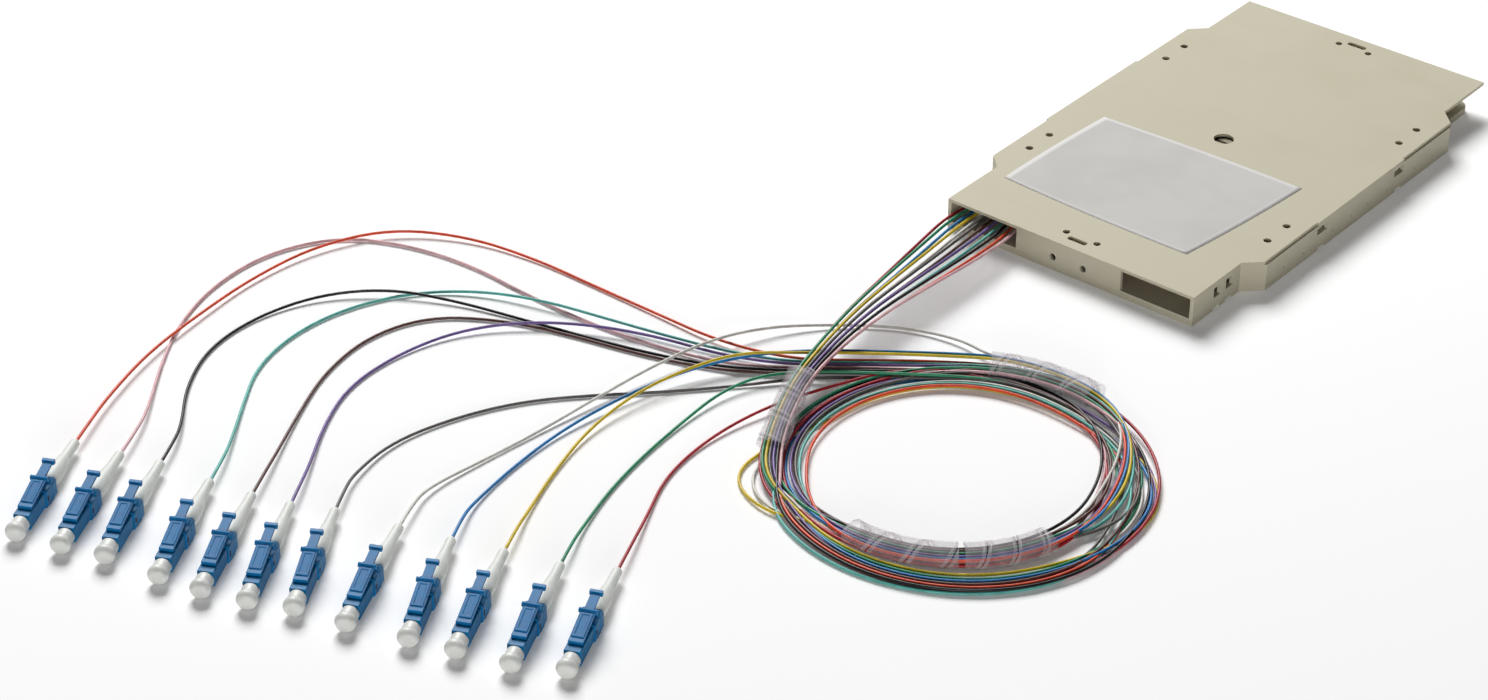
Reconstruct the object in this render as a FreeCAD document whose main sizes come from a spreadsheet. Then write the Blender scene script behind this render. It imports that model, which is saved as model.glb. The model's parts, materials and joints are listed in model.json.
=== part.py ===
import FreeCAD, Part
import math
import os

# Fibre cassette: a flat moulded splice tray with a press-on cover, twelve
# pre-loaded 0.9 mm pigtails that leave its front slot, one tied coil of those
# pigtails, and a small form factor connector with boot and dust cap on each.
# Millimetres. Origin at the bottom centre of the tray, +Z up, +Y along the
# tray, and the slot with the pigtails in the front wall at -Y.

Vector = FreeCAD.Vector
Z_AXIS = Vector(0, 0, 1)

doc = FreeCAD.newDocument("fibre_cassette")
sizes = doc.addObject("Spreadsheet::Sheet", "Sizes")

SIZES = {
    # tray shell
    "tray_length": 165.0,
    "tray_width": 98.0,
    "end_width": 87.0,
    "shoulder_from_end": 30.0,
    "shoulder_length": 5.5,
    "tray_height": 8.8,
    "wall": 1.2,
    "floor_thick": 2.3,
    # openings in the two end walls
    "mouth_inner": 18.5,
    "corner_open_from": 57.0,
    "floor_setback": 2.5,
    "corner_round": 4.0,
    # fixing holes in the centre of each end wall
    "fixing_half_pitch": 5.35,
    "fixing_height": 4.3,
    "fixing_radius": 1.1,
    # small windows and key notches in the side walls
    "window_from_end": 18.9,
    "window_pitch": 6.4,
    "window_length": 3.6,
    "window_low": 4.4,
    "window_tall": 3.3,
    "notch_height": 1.0,
    "notch_depth": 0.8,
    "dimple_radius": 0.65,
    "dimple_height": 3.4,
    "dimple_depth": 0.7,
    "snap_place": 22.0,
    "snap_window": 5.6,
    "snap_low": 5.6,
    "snap_tall": 2.2,
    # winding drums, fingers and posts on the floor
    "bend_radius": 30.0,
    "drum_from_end": 41.5,
    "drum_wall": 1.2,
    "drum_height": 8.3,
    "drum_gap": 0.5,
    "drum_open_angle": 8.0,
    "finger_thick": 0.8,
    "finger_width": 7.0,
    "finger_reach": 6.5,
    "post_radius": 2.8,
    "post_slot": 1.0,
    "post_slot_deep": 2.0,
    "end_boss_from_end": 4.5,
    "end_boss_length": 5.9,
    "end_boss_width": 1.5,
    # cover
    "cover_thick": 1.0,
    "cover_step_place": 24.5,
    "cover_step": 0.6,
    "post_hole_radius": 3.1,
    "cover_hole_radius": 1.2,
    "cover_hole_from_side": 6.4,
    "cover_hole_from_shoulder": 10.0,
    "cover_hole_pitch": 10.5,
    "end_hole_side": 5.4,
    "end_hole_from_end": 6.7,
    "end_slot_length": 6.5,
    "end_slot_width": 2.0,
    "end_slot_round": 0.8,
    "tab_thick": 1.1,
    "tab_width": 5.0,
    "tab_drop": 3.4,
    # gaps between pieces
    "fit_gap": 0.3,
    "bore_gap": 0.075,
    "face_gap": 0.1,
    "tail_gap": 0.05,
    # label
    "label_thick": 0.2,
    # splice comb
    "splice_count": 12,
    "splice_pitch": 2.0,
    "comb_rib": 0.6,
    "comb_length": 34.0,
    "comb_base": 0.8,
    "comb_tall": 4.4,
    "comb_place": 17.0,
    "seat_rail": 1.0,
    "seat_rail_tall": 1.6,
    # stored fibre inside the tray
    "stored_thick": 4.5,
    "stored_tall": 4.8,
    # pigtail
    "fibre_radius": 0.45,
    # coil on the table
    "coil_outer_radius": 54.5,
    "coil_inner_radius": 38.0,
    "coil_height": 4.6,
    "coil_edge": 1.4,
    "coil_outer_right": 36.5,
    "coil_outer_ahead": 182.5,
    "coil_inner_right": 33.0,
    "coil_inner_ahead": 184.0,
    # clear spiral wraps
    "wrap_film": 0.5,
    "wrap_wide": 8.4,
    "wrap_tall": 6.0,
    "wrap_corner": 1.6,
    "lead_wrap_tall": 3.6,
    "lead_wrap_corner": 0.9,
    # connector, along its own axis from the front of the dust cap
    "axis_height": 2.9,
    "cap_head_length": 1.8,
    "cap_length": 5.9,
    "cap_neck_radius": 2.1,
    "cap_bore_deep": 3.6,
    "cap_edge": 0.5,
    "ferrule_radius": 0.625,
    "housing_start": 6.0,
    "housing_shoulder": 16.8,
    "housing_end": 23.5,
    "housing_width": 4.52,
    "housing_half_tall": 2.26,
    "hump_width": 5.3,
    "hump_top": 2.6,
    "nose_round": 0.35,
    "hump_round": 0.9,
    "waist_start": 19.0,
    "waist_end": 21.0,
    "front_bore_radius": 1.6,
    "front_bore_deep": 4.0,
    "latch_root": 8.6,
    "latch_ears": 19.4,
    "latch_end": 26.6,
    "latch_root_top": 0.9,
    "latch_ears_top": 4.95,
    "latch_end_top": 5.95,
    "latch_thick": 0.7,
    "latch_root_length": 1.4,
    "latch_swell": 0.25,
    "latch_join": 0.5,
    "latch_width": 3.1,
    "latch_tail_width": 2.5,
    "thumb_width": 4.1,
    "thumb_length": 1.1,
    "thumb_below": 0.25,
    "thumb_above": 0.35,
    "ear_radius": 0.7,
    "ear_rise": 0.15,
    "ear_width": 4.9,
    "boot_full_to": 33.0,
    "boot_end": 43.5,
    "boot_radius": 2.3,
    "boot_tip_radius": 1.3,
    "boot_tip_length": 3.0,
    "boot_tip_flare": 0.25,
}

for row, (alias, value) in enumerate(SIZES.items(), start=1):
    sizes.set("A%d" % row, alias)
    sizes.set("B%d" % row, str(value))
    sizes.setAlias("B%d" % row, alias)
doc.recompute()


def size(alias):
    return float(sizes.get(alias))


# ---------------------------------------------------------------- helpers


def bind(thing, **expressions):
    """Ties properties to the sheet; a double underscore stands for a dot."""
    for name, text in expressions.items():
        for alias in sorted(SIZES, key=len, reverse=True):
            text = text.replace("<%s>" % alias, "Sizes.%s" % alias)
        thing.setExpression(name.replace("__", "."), text)


def new_body(name):
    body = doc.addObject("PartDesign::Body", name)
    body.Label = name
    return body


def origin_plane(body, role):
    for feature in body.Origin.OriginFeatures:
        if feature.Role == role:
            return feature
    raise ValueError("no plane " + role)


def corner_arc(before, corner, after, radius):
    """Ends and middle of the round that replaces a corner of an outline."""
    to_before = (before - corner).normalize()
    to_after = (after - corner).normalize()
    half = to_before.getAngle(to_after) / 2
    bisector = (to_before + to_after).normalize()
    reach = radius / math.tan(half)
    middle = corner + bisector * (radius / math.sin(half) - radius)
    return corner + to_before * reach, middle, corner + to_after * reach


def outline_edges(corners):
    """Line and arc segments through corners given as (x, y) or (x, y, round)."""
    points = [Vector(c[0], c[1], 0) for c in corners]
    count = len(points)
    ends = []
    for i, corner in enumerate(corners):
        if len(corner) == 3:
            ends.append(corner_arc(points[i - 1], points[i], points[(i + 1) % count], corner[2]))
        else:
            ends.append((points[i], None, points[i]))
    edges = []
    for i, (start, middle, end) in enumerate(ends):
        if middle is not None:
            edges.append(Part.Arc(start, middle, end))
        edges.append(Part.LineSegment(end, ends[(i + 1) % count][0]))
    return edges


def new_sketch(body, name, role, loops, level="0"):
    """A sketch of closed loops: each a list of corners or of edges, or (x, y, radius)."""
    sketch = body.newObject("Sketcher::SketchObject", name)
    sketch.AttachmentSupport = (origin_plane(body, role), [""])
    sketch.MapMode = "FlatFace"
    bind(sketch, AttachmentOffset__Base__z=level)
    for loop in loops:
        if isinstance(loop, tuple):
            centre = Vector(loop[0], loop[1], 0)
            sketch.addGeometry(Part.Circle(centre, Z_AXIS, loop[2]), False)
        else:
            edges = outline_edges(loop) if isinstance(loop[0], tuple) else loop
            for edge in edges:
                sketch.addGeometry(edge, False)
    return sketch


def pad(body, name, role, loops, length, level="0"):
    sketch = new_sketch(body, name + "_sketch", role, loops, level)
    feature = body.newObject("PartDesign::Pad", name)
    feature.Profile = sketch
    bind(feature, Length=length)
    return feature


def pocket(body, name, role, loops, length, level="0", along_normal=False):
    """Cuts against the plane's normal, or along it; the volume has to fall."""
    doc.recompute()
    before = body.Shape.Volume
    sketch = new_sketch(body, name + "_sketch", role, loops, level)
    feature = body.newObject("PartDesign::Pocket", name)
    feature.Profile = sketch
    feature.Reversed = along_normal
    bind(feature, Length=length)
    doc.recompute()
    if not body.Shape.Volume < before - 0.01:
        raise RuntimeError(name + " cut nothing")
    return feature


def rectangle(x_low, x_high, y_low, y_high):
    return [(x_low, y_low), (x_high, y_low), (x_high, y_high), (x_low, y_high)]


def turned_rectangle(centre, angle, along_low, along_high, half_width):
    """A rectangle that points away from a centre at an angle in degrees."""
    ahead = Vector(math.cos(math.radians(angle)), math.sin(math.radians(angle)), 0)
    aside = Vector(-ahead.y, ahead.x, 0)
    corners = []
    for reach, side in ((along_low, -1), (along_high, -1), (along_high, 1), (along_low, 1)):
        point = centre + ahead * reach + aside * (side * half_width)
        corners.append((point.x, point.y))
    return corners


def both_ways(values):
    return [sign * value for value in values for sign in (-1, 1)]


def from_shape(name, shape):
    """A node whose form is built with Part's own functions."""
    node = doc.addObject("Part::Feature", name)
    node.Label = name
    node.Shape = shape
    return node


# ---------------------------------------------------------------- tray outline

HALF_LENGTH = size("tray_length") / 2
HALF_WIDTH = size("tray_width") / 2
HALF_END = size("end_width") / 2
WALL = size("wall")
FLOOR = size("floor_thick")
TRAY_TOP = size("tray_height")
SHOULDER = HALF_LENGTH - size("shoulder_from_end")
DRUM_PLACE = HALF_LENGTH - size("drum_from_end")
END_BOSS_PLACE = HALF_LENGTH - size("end_boss_from_end")
END_HOLE_PLACE = HALF_LENGTH - size("end_hole_from_end")
COVER_HOLE_SIDE = HALF_WIDTH - size("cover_hole_from_side")
COVER_HOLE_FAR = SHOULDER - size("cover_hole_from_shoulder")
COVER_HOLE_NEAR = COVER_HOLE_FAR - size("cover_hole_pitch")


def tray_outline(inset, mid_inset=0.0):
    """The tray's plan, drawn in by an inset; its waist can be drawn in more."""
    lean = math.atan2(size("shoulder_length"), HALF_WIDTH - HALF_END)
    shift = inset * math.tan((math.pi / 2 - lean) / 2)
    end_x = HALF_END - inset
    side_x = HALF_WIDTH - inset - mid_inset
    low_y = SHOULDER - shift + mid_inset * math.tan(lean)
    high_y = SHOULDER + size("shoulder_length") - shift
    quarter = [(side_x, low_y), (end_x, high_y), (end_x, HALF_LENGTH - inset)]
    if mid_inset > 0:
        step_y = size("cover_step_place")
        quarter = [(side_x + mid_inset, step_y), (side_x, step_y)] + quarter
    right = [(x, -y) for x, y in reversed(quarter)] + quarter
    left = [(-x, y) for x, y in reversed(right)]
    return right + left


# ---------------------------------------------------------------- base tray


def side_places():
    """Distances along the tray of the windows in its narrow front sides."""
    first = HALF_LENGTH - size("window_from_end")
    return [-first, -first - size("window_pitch")]


MARK_PLACES = [4.6, 15.6, COVER_HOLE_NEAR, COVER_HOLE_FAR]
FINGER_ANGLES = [38, 90, 142]
SIDE_FINGER_PLACES = [10.0, 31.0]


def build_base_tray():
    body = new_body("base_tray")
    pad(body, "floor", "XY_Plane", [tray_outline(0)], "<floor_thick>")
    pad(body, "walls", "XY_Plane", [tray_outline(0), tray_outline(WALL)], "<tray_height>")
    cut_open_corners(body)
    cut_end_walls(body)
    cut_side_walls(body)
    add_drums(body)
    add_posts_and_seats(body)
    return body


def cut_open_corners(body):
    """The two rear corners have no wall, and the floor there is set back."""
    mouth = size("mouth_inner")
    start = size("corner_open_from")
    beyond = HALF_WIDTH + 1
    edge_x = HALF_END - size("floor_setback")
    edge_y = HALF_LENGTH - size("floor_setback")
    walls = []
    rims = []
    for side in (-1, 1):
        walls.append(rectangle(side * mouth, side * beyond, start, HALF_LENGTH + 1))
        rims.append([
            (side * mouth, HALF_LENGTH + 1),
            (side * mouth, edge_y),
            (side * edge_x, edge_y, size("corner_round")),
            (side * edge_x, start),
            (side * beyond, start),
            (side * beyond, HALF_LENGTH + 1),
        ])
    pocket(body, "open_corners", "XY_Plane", walls, "<tray_height> - <floor_thick>", "<tray_height>")
    pocket(body, "floor_rims", "XY_Plane", rims, "<floor_thick> + 1", "<floor_thick>")


def cut_end_walls(body):
    """Two fibre mouths in the front wall, and two fixing holes in each end."""
    mouth = size("mouth_inner")
    inner = HALF_END - WALL
    mouths = [rectangle(side * mouth, side * inner, FLOOR, TRAY_TOP + 1) for side in (-1, 1)]
    pocket(body, "front_mouths", "XZ_Plane", mouths, "<wall>", "<tray_length> / 2")
    holes = [
        (side * size("fixing_half_pitch"), size("fixing_height"), size("fixing_radius"))
        for side in (-1, 1)
    ]
    pocket(body, "front_fixings", "XZ_Plane", holes, "<wall>", "<tray_length> / 2")
    pocket(body, "rear_fixings", "XZ_Plane", holes, "<wall>", "-<tray_length> / 2", True)


def cut_side_walls(body):
    """Windows, key notches and row marks along both sides."""
    half = size("window_length") / 2
    low = size("window_low")
    high = low + size("window_tall")
    snap_half = size("snap_window") / 2
    snap_low = size("snap_low")
    windows = [rectangle(y - half, y + half, low, high) for y in side_places()]
    end_notches = [rectangle(y - half, y + half, -1, size("notch_height")) for y in side_places()]
    snaps = [
        rectangle(y - snap_half, y + snap_half, snap_low, snap_low + size("snap_tall"))
        for y in both_ways([size("snap_place")])
    ]
    side_notches = [
        rectangle(y - half, y + half, -1, size("notch_height"))
        for y in both_ways([size("snap_place")])
    ]
    dimples = [(y, size("dimple_height"), size("dimple_radius")) for y in both_ways(MARK_PLACES)]
    for tag, sign, inward in (("right", "", False), ("left", "-", True)):
        end_level = sign + "<end_width> / 2"
        side_level = sign + "<tray_width> / 2"
        cuts = (
            ("windows_", windows, "<wall>", end_level),
            ("end_notches_", end_notches, "<notch_depth>", end_level),
            ("snap_windows_", snaps, "<wall>", side_level),
            ("side_notches_", side_notches, "<notch_depth>", side_level),
            ("marks_", dimples, "<dimple_depth>", side_level),
        )
        for name, loops, depth, level in cuts:
            pocket(body, name + tag, "YZ_Plane", loops, depth, level, inward)


def drum_band(centre_y, turn):
    """Half ring that the fibre is wound round, open towards the tray's middle."""
    outer = size("bend_radius")
    low = math.radians(-size("drum_open_angle"))
    rims = []
    for radius in (outer, outer - size("drum_wall")):
        rims.append([
            Vector(radius * math.cos(a), centre_y + turn * radius * math.sin(a), 0)
            for a in (low, math.pi / 2, math.pi - low)
        ])
    outside, inside = rims
    return [
        Part.Arc(*outside),
        Part.LineSegment(outside[2], inside[2]),
        Part.Arc(*reversed(inside)),
        Part.LineSegment(inside[0], outside[0]),
    ]


def add_drums(body):
    """Two winding drums, and fingers over the fibre on drums and side walls."""
    half = size("finger_width") / 2
    reach_from = size("bend_radius") - size("drum_wall") / 2
    reach_to = size("bend_radius") + size("finger_reach")
    finger_level = "<drum_height> - <finger_thick>"
    for tag, turn in (("front", -1), ("rear", 1)):
        centre_y = turn * DRUM_PLACE
        band = drum_band(centre_y, turn)
        pad(body, tag + "_drum", "XY_Plane", [band], "<drum_height> - <floor_thick>", "<floor_thick>")
        centre = Vector(0, centre_y, 0)
        fingers = [
            turned_rectangle(centre, turn * angle, reach_from, reach_to, half)
            for angle in FINGER_ANGLES
        ]
        pad(body, tag + "_fingers", "XY_Plane", fingers, "<finger_thick>", finger_level)
    side_fingers = []
    for side in (-1, 1):
        for y in both_ways(SIDE_FINGER_PLACES):
            wall_x = side * (HALF_WIDTH - WALL / 2)
            tip_x = side * (size("bend_radius") + size("drum_gap") + 1)
            side_fingers.append(rectangle(tip_x, wall_x, y - half, y + half))
    pad(body, "side_fingers", "XY_Plane", side_fingers, "<finger_thick>", finger_level)


def add_posts_and_seats(body):
    """Slotted middle post, blocks under the cover's end slots, comb seats."""
    post = [(0, 0, size("post_radius"))]
    pad(body, "post", "XY_Plane", post, "<tray_height> - <floor_thick> - <fit_gap>", "<floor_thick>")
    half_slot = size("post_slot") / 2
    slot = [rectangle(-size("post_radius") - 1, size("post_radius") + 1, -half_slot, half_slot)]
    pocket(body, "post_slot", "XY_Plane", slot, "<post_slot_deep> + <fit_gap>", "<tray_height>")
    half_long = size("end_boss_length") / 2
    half_wide = size("end_boss_width") / 2
    blocks = [
        rectangle(-half_long, half_long, y - half_wide, y + half_wide)
        for y in both_ways([END_BOSS_PLACE])
    ]
    pad(body, "end_blocks", "XY_Plane", blocks, "<tray_height> - <floor_thick>", "<floor_thick>")
    half_comb = comb_width() / 2
    rail_from = size("comb_length") / 2 + size("fit_gap")
    rail_to = rail_from + size("seat_rail")
    rails = []
    for x in both_ways([size("comb_place")]):
        for side in (-1, 1):
            rails.append(rectangle(x - half_comb, x + half_comb, side * rail_from, side * rail_to))
    pad(body, "comb_seats", "XY_Plane", rails, "<seat_rail_tall>", "<floor_thick>")


# ---------------------------------------------------------------- cover and label

LABEL_CORNERS = [(-38.6, -62.7), (29.2, -64.9), (35.2, -9.8), (-36.5, -11.4)]


def build_cover():
    body = new_body("cover")
    pad(body, "plate", "XY_Plane", [tray_outline(0, size("cover_step"))], "<cover_thick>", "<tray_height>")
    holes = [(0, 0, size("post_hole_radius"))]
    for y in both_ways([COVER_HOLE_NEAR, COVER_HOLE_FAR]):
        for x in both_ways([COVER_HOLE_SIDE]):
            holes.append((x, y, size("cover_hole_radius")))
    half_long = size("end_slot_length") / 2
    half_wide = size("end_slot_width") / 2
    for turn in (-1, 1):
        for x in both_ways([size("end_hole_side")]):
            holes.append((x, turn * END_HOLE_PLACE, size("fixing_radius")))
        y = turn * END_BOSS_PLACE
        slot = rectangle(-half_long, half_long, y - half_wide, y + half_wide)
        holes.append([(x, y, size("end_slot_round")) for x, y in slot])
    pocket(body, "cover_holes", "XY_Plane", holes, "<cover_thick>", "<tray_height> + <cover_thick>")
    outer = HALF_WIDTH - WALL - size("fit_gap")
    inner = outer - size("tab_thick")
    half = size("tab_width") / 2
    tabs = []
    for side in (-1, 1):
        for y in both_ways([size("snap_place")]):
            tabs.append(rectangle(side * inner, side * outer, y - half, y + half))
    pad(body, "snap_tabs", "XY_Plane", tabs, "<tab_drop>", "<tray_height> - <tab_drop>")
    return body


def build_blank_label():
    body = new_body("blank_label")
    level = "<tray_height> + <cover_thick>"
    pad(body, "sheet", "XY_Plane", [LABEL_CORNERS], "<label_thick>", level)
    return body


# ---------------------------------------------------------------- splice holder


def comb_width():
    return size("splice_count") * size("splice_pitch") + size("comb_rib")


def build_splice_holder():
    """A comb of thin ribs; one splice lies in each groove between two of them."""
    body = new_body("splice_holder")
    centre_x = size("comb_place")
    half = comb_width() / 2
    half_long = size("comb_length") / 2
    base = [rectangle(centre_x - half, centre_x + half, -half_long, half_long)]
    pad(body, "comb_plate", "XY_Plane", base, "<comb_base>", "<floor_thick>")
    first = centre_x - half
    rib = [rectangle(first, first + size("comb_rib"), -half_long, half_long)]
    level = "<floor_thick> + <comb_base>"
    feature = pad(body, "comb_rib", "XY_Plane", rib, "<comb_tall> - <comb_base>", level)
    doc.recompute()
    pattern = body.newObject("PartDesign::LinearPattern", "comb_ribs")
    pattern.Originals = [feature]
    pattern.Direction = (feature.Profile[0], ["H_Axis"])
    bind(pattern, Length="<splice_count> * <splice_pitch>", Occurrences="<splice_count> + 1")
    body.Tip = pattern
    return body


# ---------------------------------------------------------------- stored fibre


def racetrack(radius):
    """A round turn about each drum's centre, and the straight runs between."""
    place = DRUM_PLACE
    rear = Part.Arc(Vector(radius, place, 0), Vector(0, place + radius, 0), Vector(-radius, place, 0))
    front = Part.Arc(Vector(-radius, -place, 0), Vector(0, -place - radius, 0), Vector(radius, -place, 0))
    left = Part.LineSegment(Vector(-radius, place, 0), Vector(-radius, -place, 0))
    right = Part.LineSegment(Vector(radius, -place, 0), Vector(radius, place, 0))
    return [rear, left, front, right]


def build_stored_fibre():
    """The loops left inside: one plain band round both drums."""
    body = new_body("stored_fibre")
    inner = size("bend_radius") + size("drum_gap")
    loops = [racetrack(inner + size("stored_thick")), racetrack(inner)]
    pad(body, "band", "XY_Plane", loops, "<stored_tall>", "<floor_thick>")
    return body


# ---------------------------------------------------------------- tubes of the pigtails

# Middle of the ribbon of twelve where it leaves the cassette: x, y, height,
# distance from the first to the last fibre, and half the step between its two rows.
LEAD_STATIONS = [
    (-34.2, -46.0, 5.2, 6.05, 0.52),
    (-32.0, -64.0, 5.7, 13.0, 0.30),
    (-30.5, -83.5, 6.1, 22.0, 0.10),
    (-28.5, -104.0, 6.8, 19.0, 0.30),
    (-27.0, -125.0, 7.6, 14.5, 0.52),
    (-25.5, -145.0, 8.2, 10.5, 0.52),
    (-23.0, -165.0, 7.8, 7.0, 0.52),
    (-19.5, -184.0, 6.3, 5.4, 0.52),
    (-10.0, -206.0, 4.2, 5.2, 0.52),
    (-1.0, -219.0, 2.6, 6.05, 0.52),
]

# Order of the fibres across the ribbon, from its -X side.
FIBRES = [
    "red", "green", "blue", "yellow", "white", "slate",
    "brown", "violet", "turquoise", "black", "orange", "pink",
]

# From the coil to the boot: the points of each fibre's free run.
TAILS = {
    "red": [
        (-16, -177.5, 2.2), (-21.5, -191, 2), (-25, -206, 1.2), (-25.5, -221.5, 0.6),
        (-23, -237, 0.6), (-16.5, -252.5, 1), (-8, -267.5, 2.5),
    ],
    "green": [
        (-13.5, -165.5, 2.8), (-24, -173.5, 2.7), (-33.5, -184, 2.6), (-37, -197, 1.8),
        (-36.5, -212.5, 0.8), (-34.5, -230.5, 0.6), (-30, -248.5, 0.6), (-24.5, -266.5, 1),
        (-20.5, -276.5, 2.5),
    ],
    "blue": [
        (3.5, -140.5, 3.4), (-14, -154.5, 4), (-31.5, -169, 4.4), (-44, -183, 3.6),
        (-52, -199, 2.6), (-56.5, -217.5, 2), (-59, -237, 1), (-56.5, -256, 0.6), (-52, -275, 0.9),
        (-50.5, -285.5, 2.5),
    ],
    "yellow": [
        (4.5, -141.5, 3.4), (-13, -155.5, 4.2), (-30, -170.5, 5), (-42.5, -181, 5),
        (-49, -194, 4.2), (-53.5, -212, 3.2), (-53.5, -232, 1.4), (-47.5, -251.5, 0.6),
        (-40, -270.5, 1), (-35.5, -281, 2.5),
    ],
    "white": [
        (10.5, -134.5, 2.4), (-2, -131.5, 1.4), (-19, -136, 0.8), (-35, -147.5, 0.8),
        (-47.5, -162.5, 2.4), (-54.5, -180, 3.8), (-58.5, -199.5, 3.2), (-61.5, -219.5, 1.8),
        (-63.5, -239, 0.7), (-64.5, -258.5, 0.6), (-65, -278, 1.2), (-64.5, -289.5, 2.5),
    ],
    "slate": [
        (-13.5, -166.5, 1.6), (-25, -176, 1.2), (-37, -190, 0.6), (-51.5, -206, 0.6),
        (-65.5, -219.5, 0.6), (-77.5, -233.5, 0.6), (-86, -250.5, 0.6), (-89.5, -269.5, 0.8),
        (-86.5, -288, 1.7), (-82.5, -297, 2.5),
    ],
    "brown": [
        (-12, -162.8, 1.7), (-23, -171, 1.5), (-34, -180, 1.2), (-49, -188, 0.6),
        (-69, -194.8, 0.6), (-90, -199.5, 0.6), (-110, -206, 0.6), (-127.5, -218, 0.6),
        (-133.5, -237, 0.6), (-129.5, -258, 0.6), (-120.5, -277, 0.8), (-110.5, -295.5, 1.8),
        (-105, -304.5, 2.5),
    ],
    "violet": [
        (-8, -154.5, 1.8), (-19.5, -163.5, 1.8), (-32.5, -174, 1.8), (-49, -181.5, 1.8),
        (-68, -186, 2.2), (-87, -193.5, 2.3), (-103.5, -204.5, 2), (-115.5, -219.5, 1.2),
        (-120.5, -238.5, 0.6), (-119.5, -258.5, 0.6), (-111.5, -277, 0.8), (-100.5, -293.5, 1.7),
        (-94, -302, 2.5),
    ],
    "turquoise": [
        (-6, -151.5, 1.8), (-18, -161, 1.8), (-32, -172, 1.8), (-49.5, -179, 1.6),
        (-68, -184, 1.9), (-84.5, -188, 2.2), (-106, -192.5, 2.2), (-124.5, -199, 1.2),
        (-139.5, -211, 0.6), (-148.5, -228.5, 0.6), (-151, -248, 0.6), (-146.5, -267.5, 0.6),
        (-136.5, -284.5, 0.8), (-125, -300.5, 1.8), (-117.5, -308, 2.5),
    ],
    "black": [
        (-10.5, -160, 1.7), (-22, -169, 1.6), (-33.5, -178, 1.4), (-49, -186.5, 0.8),
        (-68.5, -193, 0.6), (-88, -198, 0.6), (-107.5, -202.5, 0.6), (-126.5, -207.5, 1),
        (-144.5, -216, 2.2), (-159, -230, 1.3), (-165.5, -249.5, 0.6), (-164, -269.5, 0.6),
        (-155.5, -288, 0.8), (-143, -303.5, 1.8), (-134, -310.5, 2.5),
    ],
    "orange": [
        (-3, -147.5, 1.8), (-16, -158, 1.8), (-32, -170.5, 1.8), (-54, -176, 1.4),
        (-78, -175.5, 0.8), (-101.5, -175.5, 0.6), (-125, -175.5, 0.7), (-148.5, -179.5, 1.2),
        (-168.5, -191.5, 1.9), (-179, -212.5, 1.7), (-181, -236.5, 1.2), (-178, -260, 1.6),
        (-172.5, -283, 2), (-165, -305, 2.2), (-159.5, -317.5, 2.5),
    ],
    "pink": [
        (-9.5, -157.5, 1.8), (-21, -166.5, 1.7), (-33, -176, 1.5), (-48, -184, 1),
        (-70, -189, 0.6), (-92, -191.5, 0.6), (-114.5, -191.5, 0.6), (-137, -190, 0.6),
        (-159.5, -193.5, 0.6), (-179, -203.5, 0.6), (-188.5, -223.5, 0.6), (-187.5, -246, 0.6),
        (-179.5, -267, 0.6), (-168, -286.5, 0.8), (-155, -304.5, 1.9), (-145.5, -313.5, 2.5),
    ],
}

# Boot end on the plan, and the way each connector points back from cap to boot.
CONNECTORS = {
    "red": (-3.5, -277, 114),
    "green": (-16.5, -284.5, 115.1),
    "blue": (-45.5, -294.5, 118.7),
    "yellow": (-31.5, -289.5, 116.1),
    "white": (-60, -299, 115.7),
    "slate": (-78, -304.5, 120.9),
    "brown": (-100, -313.5, 118.3),
    "violet": (-89, -310, 120.6),
    "turquoise": (-113, -316.5, 118.8),
    "black": (-129.5, -319, 117.8),
    "orange": (-154.5, -327, 117.3),
    "pink": (-141, -323, 116.8),
}


def lead_points(index):
    """Points of one fibre of the ribbon, two rows deep, from cassette to coil."""
    stations = LEAD_STATIONS
    last = len(stations) - 1
    points = []
    for i, (x, y, z, width, row) in enumerate(stations):
        before = stations[max(i - 1, 0)]
        after = stations[min(i + 1, last)]
        ahead = Vector(after[0] - before[0], after[1] - before[1], 0).normalize()
        aside = Vector(-ahead.y, ahead.x, 0)
        across = (index - (len(FIBRES) - 1) / 2) * width / (len(FIBRES) - 1)
        lift = row if index % 2 else -row
        points.append(Vector(x, y, z + lift) + aside * across)
    return points


def tail_points(name):
    """The free run of one fibre, up to the tip of its boot."""
    boot_tip = connector_place(name).multVec(Vector(size("boot_end") + size("tail_gap"), 0, 0))
    return [Vector(*point) for point in TAILS[name]] + [boot_tip]


def tube(points, radius, label):
    """Straight runs joined by tangent arcs, as large as their runs allow."""
    edges = []
    start = points[0]
    length = 0.0
    radii = []
    for before, corner, after in zip(points, points[1:], points[2:]):
        to_before = before - corner
        to_after = after - corner
        reach = 0.45 * min(to_before.Length, to_after.Length)
        to_before.normalize()
        to_after.normalize()
        half_turn = (math.pi - to_before.getAngle(to_after)) / 2
        bend = reach / math.tan(half_turn)
        radii.append(bend)
        bisector = (to_before + to_after).normalize()
        middle = corner + bisector * (bend / math.cos(half_turn) - bend)
        arc_start = corner + to_before * reach
        arc_end = corner + to_after * reach
        edges.append(Part.LineSegment(start, arc_start).toShape())
        edges.append(Part.Arc(arc_start, middle, arc_end).toShape())
        start = arc_end
    edges.append(Part.LineSegment(start, points[-1]).toShape())
    path = Part.Wire(edges)
    area = math.pi * radius ** 2
    circle = Part.Circle(points[0], points[1] - points[0], radius).toShape()
    solid = path.makePipeShell([Part.Wire([circle])], True, False)
    expected = area * path.Length
    if abs(solid.Volume / expected - 1) > 0.01:
        raise RuntimeError("%s: volume %.2f, expected %.2f" % (label, solid.Volume, expected))
    print("%s: length %.0f, smallest bend %.1f" % (label, path.Length, min(radii)))
    return solid


def build_pigtails():
    radius = size("fibre_radius")
    for index, name in enumerate(FIBRES):
        lead = tube(lead_points(index), radius, name + " lead")
        tail = tube(tail_points(name), radius, name + " tail")
        from_shape("pigtail_" + name, Part.Compound([lead, tail]))


# ---------------------------------------------------------------- coil and wraps

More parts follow.
